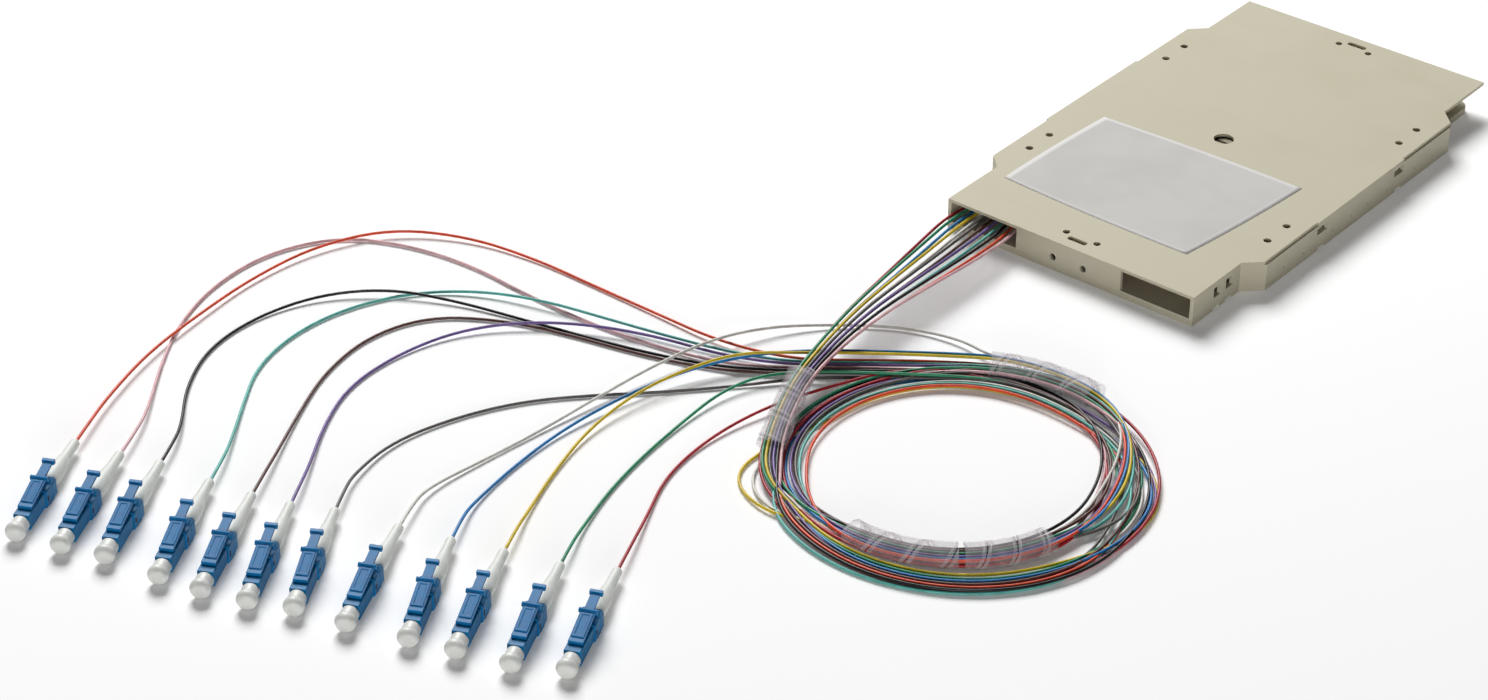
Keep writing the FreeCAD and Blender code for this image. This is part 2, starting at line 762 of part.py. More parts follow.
COIL_OUTER_CENTRE = Vector(size("coil_outer_right"), -size("coil_outer_ahead"), 0)
COIL_INNER_CENTRE = Vector(size("coil_inner_right"), -size("coil_inner_ahead"), 0)

# Each curved wrap: middle of its arc on the plan, radius, first and last angle.
RIGHT_WRAP = (COIL_OUTER_CENTRE, 50.6, 84, 115)
LOWER_WRAPS = [(COIL_INNER_CENTRE, 42.0, 272, 308), (COIL_INNER_CENTRE, 42.0, 310, 340)]


def sleeve_section(wide, tall, middle_height, film, corner):
    """Face between two rectangles with cut corners, upright, on the origin."""
    wires = []
    for inset in (0, film):
        half = wide / 2 - inset
        low = middle_height - tall / 2 + inset
        high = middle_height + tall / 2 - inset
        cut = corner - inset * (2 - math.sqrt(2))
        plan = [
            (-half + cut, low), (half - cut, low), (half, low + cut), (half, high - cut),
            (half - cut, high), (-half + cut, high), (-half, high - cut), (-half, low + cut),
        ]
        corners = [Vector(x, 0, z) for x, z in plan]
        wires.append(Part.makePolygon(corners + corners[:1]))
    return Part.Face(wires[0]).cut(Part.Face(wires[1])).Faces[0]


def curved_wrap(centre, radius, first, last):
    wide = size("wrap_wide")
    tall = size("wrap_tall")
    frame = sleeve_section(wide, tall, tall / 2, size("wrap_film"), size("wrap_corner"))
    frame.translate(Vector(radius, 0, 0))
    wrap = frame.revolve(Vector(), Z_AXIS, last - first)
    wrap.rotate(Vector(), Z_AXIS, first)
    wrap.translate(centre)
    return wrap


def straight_wrap(start, end):
    """The wrap that ties the ribbon where it comes down onto the coil."""
    wide = size("wrap_wide")
    tall = size("lead_wrap_tall")
    frame = sleeve_section(wide, tall, 0, size("wrap_film"), size("lead_wrap_corner"))
    axis = end - start
    wrap = frame.extrude(Vector(0, axis.Length, 0))
    slope = math.degrees(math.asin(axis.z / axis.Length))
    wrap.rotate(Vector(), Vector(1, 0, 0), slope)
    wrap.rotate(Vector(), Z_AXIS, math.degrees(math.atan2(axis.y, axis.x)) - 90)
    wrap.translate(start)
    return wrap


def build_coil_and_wraps():
    """The tied coil as one ring with broken edges, squeezed by the wraps round it."""
    left = straight_wrap(Vector(*LEAD_STATIONS[-3][:3]), Vector(*LEAD_STATIONS[-2][:3]))
    right = curved_wrap(*RIGHT_WRAP)
    lower = [curved_wrap(*wrap) for wrap in LOWER_WRAPS]
    from_shape("spiral_wrap_left", left)
    from_shape("spiral_wrap_right", right)
    from_shape("spiral_wraps_lower", Part.Compound(lower))
    tall = size("coil_height")
    ring = Part.makeCylinder(size("coil_outer_radius"), tall, COIL_OUTER_CENTRE)
    ring = ring.cut(Part.makeCylinder(size("coil_inner_radius"), tall, COIL_INNER_CENTRE))
    rims = [edge for edge in ring.Edges if isinstance(edge.Curve, Part.Circle)]
    from_shape("fibre_coil", ring.makeChamfer(size("coil_edge"), rims))


# ---------------------------------------------------------------- connectors


def build_housing_form():
    """Moulded plug body: slim nose, taller rear with a hump on each side."""
    body = new_body("housing_form")
    half = size("housing_width") / 2
    half_tall = size("housing_half_tall")
    nose_round = size("nose_round")
    nose = [[(y, z, nose_round) for y, z in rectangle(-half, half, -half_tall, half_tall)]]
    pad(body, "nose", "YZ_Plane", nose, "<housing_shoulder> - <housing_start>", "<housing_start>")
    half_hump = size("hump_width") / 2
    low = -size("axis_height")
    high = size("hump_top")
    hump_round = size("hump_round")
    rear = [[(y, z, hump_round) for y, z in rectangle(-half_hump, half_hump, low, high)]]
    pad(body, "rear", "YZ_Plane", rear, "<housing_end> - <housing_shoulder>", "<housing_shoulder>")
    bore = [(0, 0, size("front_bore_radius"))]
    pocket(body, "front_bore", "YZ_Plane", bore, "<front_bore_deep>", "<housing_start>", True)
    waist_start = size("waist_start")
    waist_end = size("waist_end")
    waist = [
        rectangle(waist_start, waist_end, side * half, side * (half_hump + 1))
        for side in (-1, 1)
    ]
    pocket(body, "side_waists", "XY_Plane", waist, "<hump_top> + <axis_height>", "<hump_top>")
    doc.recompute()
    return body


def build_latch_form():
    """Springy arm with two ears, and a narrow tail with a thumb bar."""
    body = new_body("latch_form")
    root = size("latch_root")
    ears = size("latch_ears")
    end = size("latch_end")
    half_tall = size("housing_half_tall")
    thick = size("latch_thick")
    low_root = half_tall + size("face_gap")
    low_ears = size("latch_ears_top") - thick
    low_end = size("latch_end_top") - thick
    arm = [
        (root, low_root),
        (ears, low_ears),
        (ears, low_ears + thick),
        (root + size("latch_root_length"), low_root + thick + size("latch_swell")),
        (root, low_root + size("latch_root_top")),
    ]
    tail_start = ears - size("latch_join")
    tail = [(tail_start, low_ears), (end, low_end), (end, low_end + thick), (tail_start, low_ears + thick)]
    thumb_low = low_end - size("thumb_below")
    thumb_high = low_end + thick + size("thumb_above")
    thumb = rectangle(end - size("thumb_length"), end, thumb_low, thumb_high)
    ear = [(ears, low_ears + thick / 2 + size("ear_rise"), size("ear_radius"))]
    for name, loop, width in (
        ("arm", [arm], "<latch_width>"),
        ("tail", [tail], "<latch_tail_width>"),
        ("thumb_bar", [thumb], "<thumb_width>"),
        ("ears", ear, "<ear_width>"),
    ):
        pad(body, name, "XZ_Plane", loop, width, "-" + width + " / 2")
    doc.recompute()
    return body


def revolved(name, profile):
    """A body turned about its X axis from a half profile of (x, radius)."""
    body = new_body(name)
    sketch = new_sketch(body, name + "_sketch", "XZ_Plane", [profile])
    feature = body.newObject("PartDesign::Revolution", name + "_turn")
    feature.Profile = sketch
    feature.ReferenceAxis = (sketch, ["H_Axis"])
    feature.Angle = 360
    doc.recompute()
    return body


def build_cap_form():
    head = size("axis_height")
    neck = size("cap_neck_radius")
    bore = size("ferrule_radius") + size("bore_gap")
    length = size("cap_length")
    bottom = length - size("cap_bore_deep")
    shoulder = size("cap_head_length")
    edge = size("cap_edge")
    return revolved("cap_form", [
        (0, 0),
        (0, head - edge),
        (edge, head),
        (shoulder, head),
        (shoulder, neck),
        (length, neck),
        (length, bore),
        (bottom, bore),
        (bottom, 0),
    ])


def build_boot_form():
    full = size("boot_radius")
    tip = size("boot_tip_radius")
    start = size("housing_end")
    end = size("boot_end")
    return revolved("boot_form", [
        (start, 0),
        (start, full),
        (size("boot_full_to"), full),
        (end - size("boot_tip_length"), tip + size("boot_tip_flare")),
        (end, tip),
        (end, 0),
    ])


def build_ferrule_form():
    start = size("cap_length") - size("cap_bore_deep") + size("face_gap")
    end = size("housing_start") + size("front_bore_deep")
    form = doc.addObject("Part::Cylinder", "ferrule_form")
    bind(form, Radius="<ferrule_radius>")
    form.Height = end - start
    form.Placement = FreeCAD.Placement(Vector(start, 0, 0), FreeCAD.Rotation(Vector(0, 1, 0), 90))
    doc.recompute()
    return form


def connector_place(name):
    """Where the connector's own axis frame lies: cap front at its origin."""
    x, y, angle = CONNECTORS[name]
    back = Vector(math.cos(math.radians(angle)), math.sin(math.radians(angle)), 0)
    start = Vector(x, y, size("axis_height")) - back * size("boot_end")
    return FreeCAD.Placement(start, FreeCAD.Rotation(Z_AXIS, angle))


def build_connectors():
    housing = build_housing_form()
    latch = build_latch_form()
    cap = build_cap_form()
    boot = build_boot_form()
    ferrule = build_ferrule_form()
    boots = []
    ferrules = []
    for name in FIBRES:
        place = connector_place(name)
        for prefix, form in (("housing_", housing), ("latch_", latch), ("dust_cap_", cap)):
            node = from_shape(prefix + name, form.Shape.copy())
            node.Placement = place
        boots.append(boot.Shape.transformed(place.toMatrix(), copy=True))
        ferrules.append(ferrule.Shape.transformed(place.toMatrix(), copy=True))
    from_shape("boots", Part.Compound(boots))
    from_shape("ferrules", Part.Compound(ferrules))


# ---------------------------------------------------------------- build and write

build_base_tray()
build_cover()
build_blank_label()
build_splice_holder()
build_stored_fibre()
build_coil_and_wraps()
build_pigtails()
build_connectors()
doc.recompute()

nodes = []
for thing in doc.Objects:
    if "Invalid" in thing.State or "Error" in thing.State:
        raise RuntimeError(thing.Name + " failed: " + str(thing.State))
    standalone = thing.TypeId in ("PartDesign::Body", "Part::Feature")
    if standalone and not thing.Label.endswith("_form"):
        if thing.Shape.isNull() or not thing.Shape.isValid():
            raise RuntimeError(thing.Label + " has no valid shape")
        nodes.append(thing)

os.makedirs("parts", exist_ok=True)
for node in nodes:
    node.Shape.exportStep("parts/%s.step" % node.Label)
print("%d nodes" % len(nodes))
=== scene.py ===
import json
import math
import random

import bmesh
import bpy
from mathutils import Matrix, Vector


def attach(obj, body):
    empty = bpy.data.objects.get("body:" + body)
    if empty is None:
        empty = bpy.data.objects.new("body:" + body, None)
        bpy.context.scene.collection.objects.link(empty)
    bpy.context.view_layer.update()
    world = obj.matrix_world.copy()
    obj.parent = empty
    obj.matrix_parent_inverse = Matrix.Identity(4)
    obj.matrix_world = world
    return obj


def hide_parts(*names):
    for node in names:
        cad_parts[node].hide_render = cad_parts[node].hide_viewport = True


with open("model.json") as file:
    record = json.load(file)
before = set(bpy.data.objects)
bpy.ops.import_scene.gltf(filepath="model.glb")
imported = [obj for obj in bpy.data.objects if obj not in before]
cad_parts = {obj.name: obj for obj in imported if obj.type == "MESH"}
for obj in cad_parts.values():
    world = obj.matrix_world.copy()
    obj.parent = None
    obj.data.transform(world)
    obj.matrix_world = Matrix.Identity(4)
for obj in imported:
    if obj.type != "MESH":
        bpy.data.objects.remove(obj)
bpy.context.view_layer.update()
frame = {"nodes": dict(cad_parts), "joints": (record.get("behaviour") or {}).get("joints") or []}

# ---------------------------------------------------------------- Camera
# A long lens from the front right, above the table, with the cassette at the
# right, the tied coil below it and the fan of plugs at the left.

long_lens_mm = 83.37
sensor_mm = 36.0
camera_place = (0.4728, -0.8018, 0.5322)
view_azimuth = math.radians(39.61)
view_elevation = math.radians(33.12)
view_back = Vector((
    math.sin(view_azimuth) * math.cos(view_elevation),
    -math.cos(view_azimuth) * math.cos(view_elevation),
    math.sin(view_elevation),
))
camera_data = bpy.data.cameras.new("table_view")
camera_data.lens = long_lens_mm
camera_data.sensor_width = sensor_mm
camera = bpy.data.objects.new("table_view", camera_data)
camera.location = camera_place
camera.rotation_mode = "QUATERNION"
camera.rotation_quaternion = (-view_back).to_track_quat("-Z", "Y")
bpy.context.scene.collection.objects.link(camera)
bpy.context.scene.camera = camera
bpy.context.scene.view_settings.view_transform = "Standard"


# ---------------------------------------------------------------- Pigtails
# Twelve fibres in 0.9 mm tight buffers of extruded plastic, one colour each. They leave the
# left mouth of the tray as a flat ribbon, run one and three quarter turns round the tied
# coil, and fan out over the table, each to the tip of its own boot.


class Shade:
    """A socket of a finish's nodes. Arithmetic on it adds Math nodes."""

    def __init__(self, tree, socket=None):
        self.tree = tree
        self.socket = socket

    def node(self, kind, settings=None, inputs=None, output=0):
        """Any node: its settings first, then the values or links of its sockets."""
        made = self.tree.nodes.new("ShaderNode" + kind)
        for name, value in (settings or {}).items():
            setattr(made, name, value)
        for name, value in (inputs or {}).items():
            if isinstance(value, Shade):
                self.tree.links.new(value.socket, made.inputs[name])
            else:
                made.inputs[name].default_value = value
        return Shade(self.tree, made.outputs[output])

    def math(self, operation, first, second=0.0):
        return self.node("Math", {"operation": operation}, {0: first, 1: second})

    def __add__(self, other):
        return self.math("ADD", self, other)

    def __sub__(self, other):
        return self.math("SUBTRACT", self, other)

    def __rsub__(self, other):
        return self.math("SUBTRACT", other, self)

    def __mul__(self, other):
        return self.math("MULTIPLY", self, other)

    __radd__ = __add__
    __rmul__ = __mul__

    def step(self, low, high):
        """Zero up to low, one from high on, and smooth between them."""
        return self.node("MapRange", {"interpolation_type": "SMOOTHSTEP"}, {0: self, 1: low, 2: high})

    def mix(self, low, high):
        """A colour from low to high by this share."""
        return self.node("Mix", {"data_type": "RGBA"}, {0: self, 6: low, 7: high}, output=2)


def srgb(red, green, blue):
    """Linear colour of a swatch that is given in 0 to 255."""
    linear = [((c / 255 + 0.055) / 1.055) ** 2.4 if c > 10 else c / 3294.6 for c in (red, green, blue)]
    return (*linear, 1.0)


def new_finish(name, **fixed):
    """An empty material, a Shade to grow its nodes from, and the shader to feed."""
    material = bpy.data.materials.new(name)
    material.use_nodes = True
    shader = material.node_tree.nodes["Principled BSDF"]
    for socket, value in fixed.items():
        shader.inputs[socket.replace("_", " ")].default_value = value
    return material, Shade(material.node_tree), shader


def feed(shader, **sockets):
    """Links values that change over the surface to the shader's sockets."""
    for name, value in sockets.items():
        value.tree.links.new(value.socket, shader.inputs[name.replace("_", " ")])


def noise(grow, scale, detail=2.0, stretch=None):
    """Soft noise on object coordinates, with its grains per metre; it can be drawn out."""
    place = grow.node("TexCoord", output=3)
    if stretch is not None:
        place = place.node("Mapping", inputs={0: place, 3: stretch})
    return grow.node("TexNoise", inputs={0: place, 2: scale, 3: detail})


def bump(height, depth):
    """A normal from a height field, with its depth in metres."""
    return height.node("Bump", inputs={0: 1.0, 1: depth, 3: height})


buffer_colours = {
    "red": srgb(170, 32, 44),
    "green": srgb(38, 140, 100),
    "blue": srgb(28, 120, 185),
    "yellow": srgb(212, 184, 30),
    "white": srgb(216, 214, 206),
    "slate": srgb(96, 92, 90),
    "brown": srgb(92, 58, 52),
    "violet": srgb(112, 88, 150),
    "turquoise": srgb(96, 182, 172),
    "black": srgb(14, 11, 13),
    "orange": srgb(222, 78, 44),
    "pink": srgb(222, 178, 182),
}
mottle_dark = 0.86
mottle_light = 1.08


def buffer_finish(name, colour):
    """Smooth extruded plastic with a faint mottle and a soft gloss."""
    material, grow, shader = new_finish("buffer_" + name, Coat_Roughness=0.3, Specular_IOR_Level=0.35)
    mottle = noise(grow, 260.0)
    fine = noise(grow, 2400.0)
    dark = tuple(c * mottle_dark for c in colour[:3]) + (1.0,)
    light = tuple(min(1.0, c * mottle_light + 0.004) for c in colour[:3]) + (1.0,)
    feed(
        shader,
        Base_Color=mottle.step(0.3, 0.7).mix(dark, light),
        Roughness=0.3 + 0.14 * mottle,
        Normal=bump(fine, 0.00001),
    )
    return material


fibre_radius = 0.00045

# Middle of the ribbon of twelve where it leaves the cassette: x, y, height,
# distance from the first to the last fibre, and half the step between its two rows.
lead_stations = [
    (-0.0316, -0.0535, 0.0049, 0.0051, 0.00052),
    (-0.0320, -0.0675, 0.0056, 0.0140, 0.00030),
    (-0.0305, -0.0835, 0.0061, 0.0220, 0.00010),
    (-0.0285, -0.1040, 0.0068, 0.0190, 0.00030),
    (-0.0270, -0.1250, 0.0076, 0.0145, 0.00052),
    (-0.0255, -0.1450, 0.0082, 0.0105, 0.00052),
    (-0.0230, -0.1650, 0.0078, 0.0070, 0.00052),
    (-0.0195, -0.1840, 0.0063, 0.0054, 0.00052),
    (-0.0100, -0.2060, 0.0042, 0.0052, 0.00052),
    (-0.0010, -0.2190, 0.0026, 0.00605, 0.00052),
]

# Order of the fibres across the ribbon, from its -X side.
fibres = [
    "red", "green", "blue", "yellow", "white", "slate",
    "brown", "violet", "turquoise", "black", "orange", "pink",
]

# From the coil to the boot: the points of each fibre's free run.
tails = {
    "red": [
        (-0.016, -0.1775, 0.0022), (-0.0215, -0.191, 0.002), (-0.025, -0.206, 0.0012),
        (-0.0255, -0.2215, 0.0006), (-0.0226, -0.2368, 0.0006), (-0.0152, -0.2519, 0.001),
        (-0.0078, -0.2674, 0.0027),
    ],
    "green": [
        (-0.0135, -0.1655, 0.0028), (-0.024, -0.1735, 0.0027), (-0.0335, -0.184, 0.0026),
        (-0.037, -0.197, 0.0018), (-0.0365, -0.2125, 0.0008), (-0.0345, -0.2305, 0.0006),
        (-0.0308, -0.2489, 0.0006), (-0.0248, -0.2666, 0.001), (-0.0203, -0.2764, 0.0027),
    ],
    "blue": [
        (0.0035, -0.1405, 0.0034), (-0.014, -0.1545, 0.004), (-0.0315, -0.169, 0.0044),
        (-0.044, -0.183, 0.0036), (-0.052, -0.199, 0.0026), (-0.0565, -0.2175, 0.002),
        (-0.059, -0.237, 0.001), (-0.0579, -0.2568, 0.0006), (-0.0544, -0.2763, 0.0009),
        (-0.0504, -0.2855, 0.0027),
    ],
    "yellow": [
        (0.0045, -0.1415, 0.0034), (-0.013, -0.1555, 0.0042), (-0.03, -0.1705, 0.005),
        (-0.0425, -0.181, 0.005), (-0.049, -0.194, 0.0042), (-0.0535, -0.212, 0.0032),
        (-0.0535, -0.232, 0.0014), (-0.0481, -0.2518, 0.0006), (-0.0405, -0.2707, 0.001),
        (-0.0356, -0.2811, 0.0027),
    ],
    "white": [
        (0.0105, -0.1345, 0.0024), (-0.002, -0.1315, 0.0014), (-0.019, -0.136, 0.0008),
        (-0.035, -0.1475, 0.0008), (-0.0475, -0.1625, 0.0024), (-0.0545, -0.18, 0.0038),
        (-0.0585, -0.1995, 0.0032), (-0.0615, -0.2195, 0.0018), (-0.0635, -0.239, 0.0007),
        (-0.0659, -0.2592, 0.0006), (-0.0681, -0.2795, 0.0012), (-0.0646, -0.2895, 0.0027),
    ],
    "slate": [
        (-0.0135, -0.1665, 0.0016), (-0.025, -0.176, 0.0012), (-0.037, -0.19, 0.0006),
        (-0.0515, -0.206, 0.0006), (-0.0655, -0.2195, 0.0006), (-0.0775, -0.2335, 0.0006),
        (-0.086, -0.2505, 0.0006), (-0.0909, -0.2703, 0.0008), (-0.0873, -0.2885, 0.0017),
        (-0.0825, -0.297, 0.0027),
    ],
    "brown": [
        (-0.012, -0.1628, 0.0017), (-0.023, -0.171, 0.0015), (-0.034, -0.18, 0.0012),
        (-0.049, -0.188, 0.0006), (-0.069, -0.1948, 0.0006), (-0.09, -0.1995, 0.0006),
        (-0.11, -0.206, 0.0006), (-0.1275, -0.218, 0.0006), (-0.1335, -0.237, 0.0006),
        (-0.1295, -0.258, 0.0006), (-0.1203, -0.2769, 0.0008), (-0.11, -0.2952, 0.0018),
        (-0.1049, -0.3044, 0.0027),
    ],
    "violet": [
        (-0.008, -0.1545, 0.0018), (-0.0195, -0.1635, 0.0018), (-0.0325, -0.174, 0.0018),
        (-0.049, -0.1815, 0.0018), (-0.068, -0.186, 0.0022), (-0.087, -0.1935, 0.0023),
        (-0.1035, -0.2045, 0.002), (-0.1155, -0.2195, 0.0012), (-0.1205, -0.2385, 0.0006),
        (-0.1195, -0.2585, 0.0006), (-0.1108, -0.2766, 0.0008), (-0.0995, -0.2929, 0.0017),
        (-0.0938, -0.3019, 0.0027),
    ],
    "turquoise": [
        (-0.006, -0.1515, 0.0018), (-0.018, -0.161, 0.0018), (-0.032, -0.172, 0.0018),
        (-0.0495, -0.179, 0.0016), (-0.068, -0.184, 0.0019), (-0.0845, -0.188, 0.0022),
        (-0.106, -0.1925, 0.0022), (-0.1245, -0.199, 0.0012), (-0.1395, -0.211, 0.0006),
        (-0.1485, -0.2285, 0.0006), (-0.151, -0.248, 0.0006), (-0.1465, -0.2675, 0.0006),
        (-0.1351, -0.2838, 0.0008), (-0.1232, -0.2995, 0.0018), (-0.1176, -0.3081, 0.0027),
    ],
    "black": [
        (-0.0105, -0.16, 0.0017), (-0.022, -0.169, 0.0016), (-0.0335, -0.178, 0.0014),
        (-0.049, -0.1865, 0.0008), (-0.0685, -0.193, 0.0006), (-0.088, -0.198, 0.0006),
        (-0.1075, -0.2025, 0.0006), (-0.1265, -0.2075, 0.001), (-0.1445, -0.216, 0.0022),
        (-0.159, -0.23, 0.0013), (-0.1655, -0.2495, 0.0006), (-0.164, -0.2695, 0.0006),
        (-0.1541, -0.2873, 0.0008), (-0.1399, -0.3019, 0.0018), (-0.134, -0.3105, 0.0027),
    ],
    "orange": [
        (-0.003, -0.1475, 0.0018), (-0.016, -0.158, 0.0018), (-0.032, -0.1705, 0.0018),
        (-0.054, -0.176, 0.0014), (-0.078, -0.1755, 0.0008), (-0.1015, -0.1755, 0.0006),
        (-0.125, -0.1755, 0.0007), (-0.1485, -0.1795, 0.0012), (-0.1685, -0.1915, 0.0019),
        (-0.179, -0.2125, 0.0017), (-0.181, -0.2365, 0.0012), (-0.178, -0.26, 0.0016),
        (-0.1736, -0.2836, 0.002), (-0.1655, -0.3053, 0.0022), (-0.1594, -0.3175, 0.0027),
    ],
    "pink": [
        (-0.0095, -0.1575, 0.0018), (-0.021, -0.1665, 0.0017), (-0.033, -0.176, 0.0015),
        (-0.048, -0.184, 0.001), (-0.07, -0.189, 0.0006), (-0.092, -0.1915, 0.0006),
        (-0.1145, -0.1915, 0.0006), (-0.137, -0.19, 0.0006), (-0.1595, -0.1935, 0.0006),
        (-0.179, -0.2035, 0.0006), (-0.1885, -0.2235, 0.0006), (-0.1875, -0.246, 0.0006),
        (-0.1795, -0.267, 0.0006), (-0.1666, -0.2858, 0.0008), (-0.1522, -0.3031, 0.0019),
        (-0.1457, -0.3136, 0.0027),
    ],
}


def lead_points(index):
    """Points of one fibre of the ribbon, two rows deep, from tray to coil."""
    last = len(lead_stations) - 1
    points = []
    for i, (x, y, z, width, row) in enumerate(lead_stations):
        before = lead_stations[max(i - 1, 0)]
        after = lead_stations[min(i + 1, last)]
        ahead = Vector((after[0] - before[0], after[1] - before[1], 0)).normalized()
        aside = Vector((-ahead.y, ahead.x, 0))
        across = (index - (len(fibres) - 1) / 2) * width / (len(fibres) - 1)
        lift = row if index % 2 else -row
        points.append(Vector((x, y, z + lift)) + aside * across)
    return points


# The coil: where its outer and its inner bundle turn, and who lies where in them, from the
# outside in, at some angles of the turn. A 2 marks a fibre on its second time round.
outer_centre = Vector((0.0370, -0.1832, 0))
inner_centre = Vector((0.0335, -0.1837, 0))


def bundle(order, centre, middle, width, low, rise=0.0009):
    """Centre, radius and height of each fibre across one bundle, in two layers."""
    names = order.split()
    places = {}
    for i, name in enumerate(names):
        radius = middle + width * (0.5 - i / (len(names) - 1))
        places[name] = (centre, radius, low + rise * (i % 2))
    return places


at_bottom_left = bundle(
    "turquoise black pink orange red brown slate violet green yellow blue white",
    outer_centre, 0.0500, 0.0066, 0.0010,
)
at_bottom = bundle(
    "turquoise black pink orange red brown violet blue slate green white yellow",
    outer_centre, 0.0502, 0.0066, 0.0006,
)
at_right = {
    **bundle("yellow red violet blue pink black white slate2 green brown orange turquoise",
             outer_centre, 0.0493, 0.0082, 0.0006),
    **bundle("turquoise2 yellow2 slate blue2 green2 orange2 violet2 brown2 red2 white2 pink2 black2",
             inner_centre, 0.0430, 0.0080, 0.0016),
}
at_top = {
    **bundle("white2 blue2 violet2 yellow2 orange2 turquoise2 red brown slate green black pink",
             outer_centre, 0.0505, 0.0066, 0.0022),
    **bundle("pink2 black2 violet brown2 green2 slate2 red2 white blue turquoise yellow orange",
             inner_centre, 0.0428, 0.0074, 0.0010),
}
at_left = bundle(
    "black green pink red blue violet brown slate white turquoise yellow orange",
    inner_centre, 0.0432, 0.0092, 0.0006,
)
at_inner_bottom = bundle(
    "red orange pink blue turquoise violet slate green yellow brown white black",
    inner_centre, 0.0420, 0.0060, 0.0018, 0.0010,
)

# Degrees of turn from +X, the bundle there, and whether it is the fibres' second time round.
coil_rounds = [
    (232, at_bottom_left, ""),
    (275, at_bottom, ""),
    (335, at_bottom, ""),
    (380, at_right, ""),
    (452, at_top, ""),
    (530, at_left, ""),
    (580, at_left, ""),
    (632, at_inner_bottom, ""),
    (700, at_inner_bottom, ""),
    (740, at_right, "2"),
    (812, at_top, "2"),
]
exit_angles = {"white": 836, "red": 880}
usual_exit_angle = 848
coil_start_angle = 240
turn_step = 18
drift_reach = 0.0002

# Two fibres stand out of the bundle in a loose bow at the lower left: where, and how far.
loose_bows = {"yellow": (586, 0.0195), "white": (590, 0.0140)}
bow_half_angle = 90 / 2.2


def coil_place(name, angle):
    """Radius, height and centre of a fibre at an angle of its turns."""
    for (start, before, mark), (end, after, next_mark) in zip(coil_rounds, coil_rounds[1:]):
        if angle <= end:
            break
    share = min(max((angle - start) / (end - start), 0.0), 1.0)
    share = share * share * (3 - 2 * share)
    centre, radius, height = before.get(name + mark) or before[name]
    next_centre, next_radius, next_height = after.get(name + next_mark) or after[name]
    return (
        centre.lerp(next_centre, share),
        radius + (next_radius - radius) * share,
        height + (next_height - height) * share,
    )


def coil_points(name, tail_start):
    """The turns of one fibre round the coil, up to where its free run begins."""
    loose = random.Random(name)
    waves = [(loose.uniform(0.8, 2.6), loose.uniform(0, math.tau)) for _ in range(3)]
    exit_angle = exit_angles.get(name, usual_exit_angle)
    away = math.radians(exit_angle)
    outward = Vector((math.cos(away), math.sin(away), 0))
    swell = 1 / math.cos(math.radians(turn_step / 2))
    points = []
    angle = coil_start_angle
    while angle < exit_angle - turn_step / 3:
        centre, radius, height = coil_place(name, min(angle, coil_rounds[-1][0]))
        if angle > coil_rounds[-1][0]:
            share = (angle - coil_rounds[-1][0]) / (exit_angle - coil_rounds[-1][0])
            exit_radius = (tail_start - centre).dot(outward)
            radius += (exit_radius - radius) * share
            height += (tail_start.z - height) * share
        if name in loose_bows:
            middle, bow = loose_bows[name]
            aside = abs(angle - middle) / bow_half_angle
            if aside < 1:
                radius += bow * math.cos(math.pi / 2 * aside) ** 2
        drift = sum(math.sin(rate * math.radians(angle) + phase) for rate, phase in waves)
        radius = (radius + drift_reach * drift) * swell
        turn = math.radians(angle)
        points.append(Vector((
            centre.x + radius * math.cos(turn),
            centre.y + radius * math.sin(turn),
            max(height, fibre_radius),
        )))
        angle += turn_step
    return points


hinge_from_cap = 0.0089
plug_axis_height = 0.0029


def plug_place(name):
    """Frame of one plug: its own X runs from the front of the dust cap to the boot's tip."""
    hinge = next(j for j in frame["joints"] if j["name"] == "latch_%s_press" % name)
    across = Vector(hinge["axis"])
    backward = Vector((across.y, -across.x, 0))
    start = Vector(hinge["pos_m"]) - backward * hinge_from_cap
    start.z = plug_axis_height
    turned = Matrix((backward, across, Vector((0, 0, 1)))).transposed().to_4x4()
    return Matrix.Translation(start) @ turned


boot_tip_from_cap = 0.0435
cord_into_boot = 0.002
cords = {}
for number, name in enumerate(fibres):
    tail = [Vector(point) for point in tails[name]]
    boot_tip = plug_place(name) @ Vector((boot_tip_from_cap - cord_into_boot, 0, 0))
    route = lead_points(number) + coil_points(name, tail[0]) + tail + [boot_tip]
    curve = bpy.data.curves.new("pigtail_line_" + name, "CURVE")
    curve.dimensions = "3D"
    curve.bevel_depth = fibre_radius
    curve.bevel_resolution = 3
    curve.resolution_u = 6
    curve.use_fill_caps = True
    spline = curve.splines.new("NURBS")
    spline.points.add(len(route) - 1)
    for point, place in zip(spline.points, route):
        point.co = (*place, 1.0)
    spline.order_u = 3
    spline.use_endpoint_u = True
    cord = bpy.data.objects.new("pigtail_line_" + name, curve)
    bpy.context.scene.collection.objects.link(cord)
    curve.materials.append(buffer_finish(name, buffer_colours[name]))
    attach(cord, "tray")
    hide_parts("pigtail_" + name, "fibre_coil")
    cords[name] = cord

# ---------------------------------------------------------------- Cassette
# Tray and press-on cover, injection moulded in beige plastic with a fine matt grain. The cover
# is held by its snap tabs in the side walls. Handled edges are polished smoother, and lighter
# partly from wear and partly as a painted highlight.

weld_distance = 0.000002
flat_within = math.radians(0.5)
sharp_from = math.radians(35)


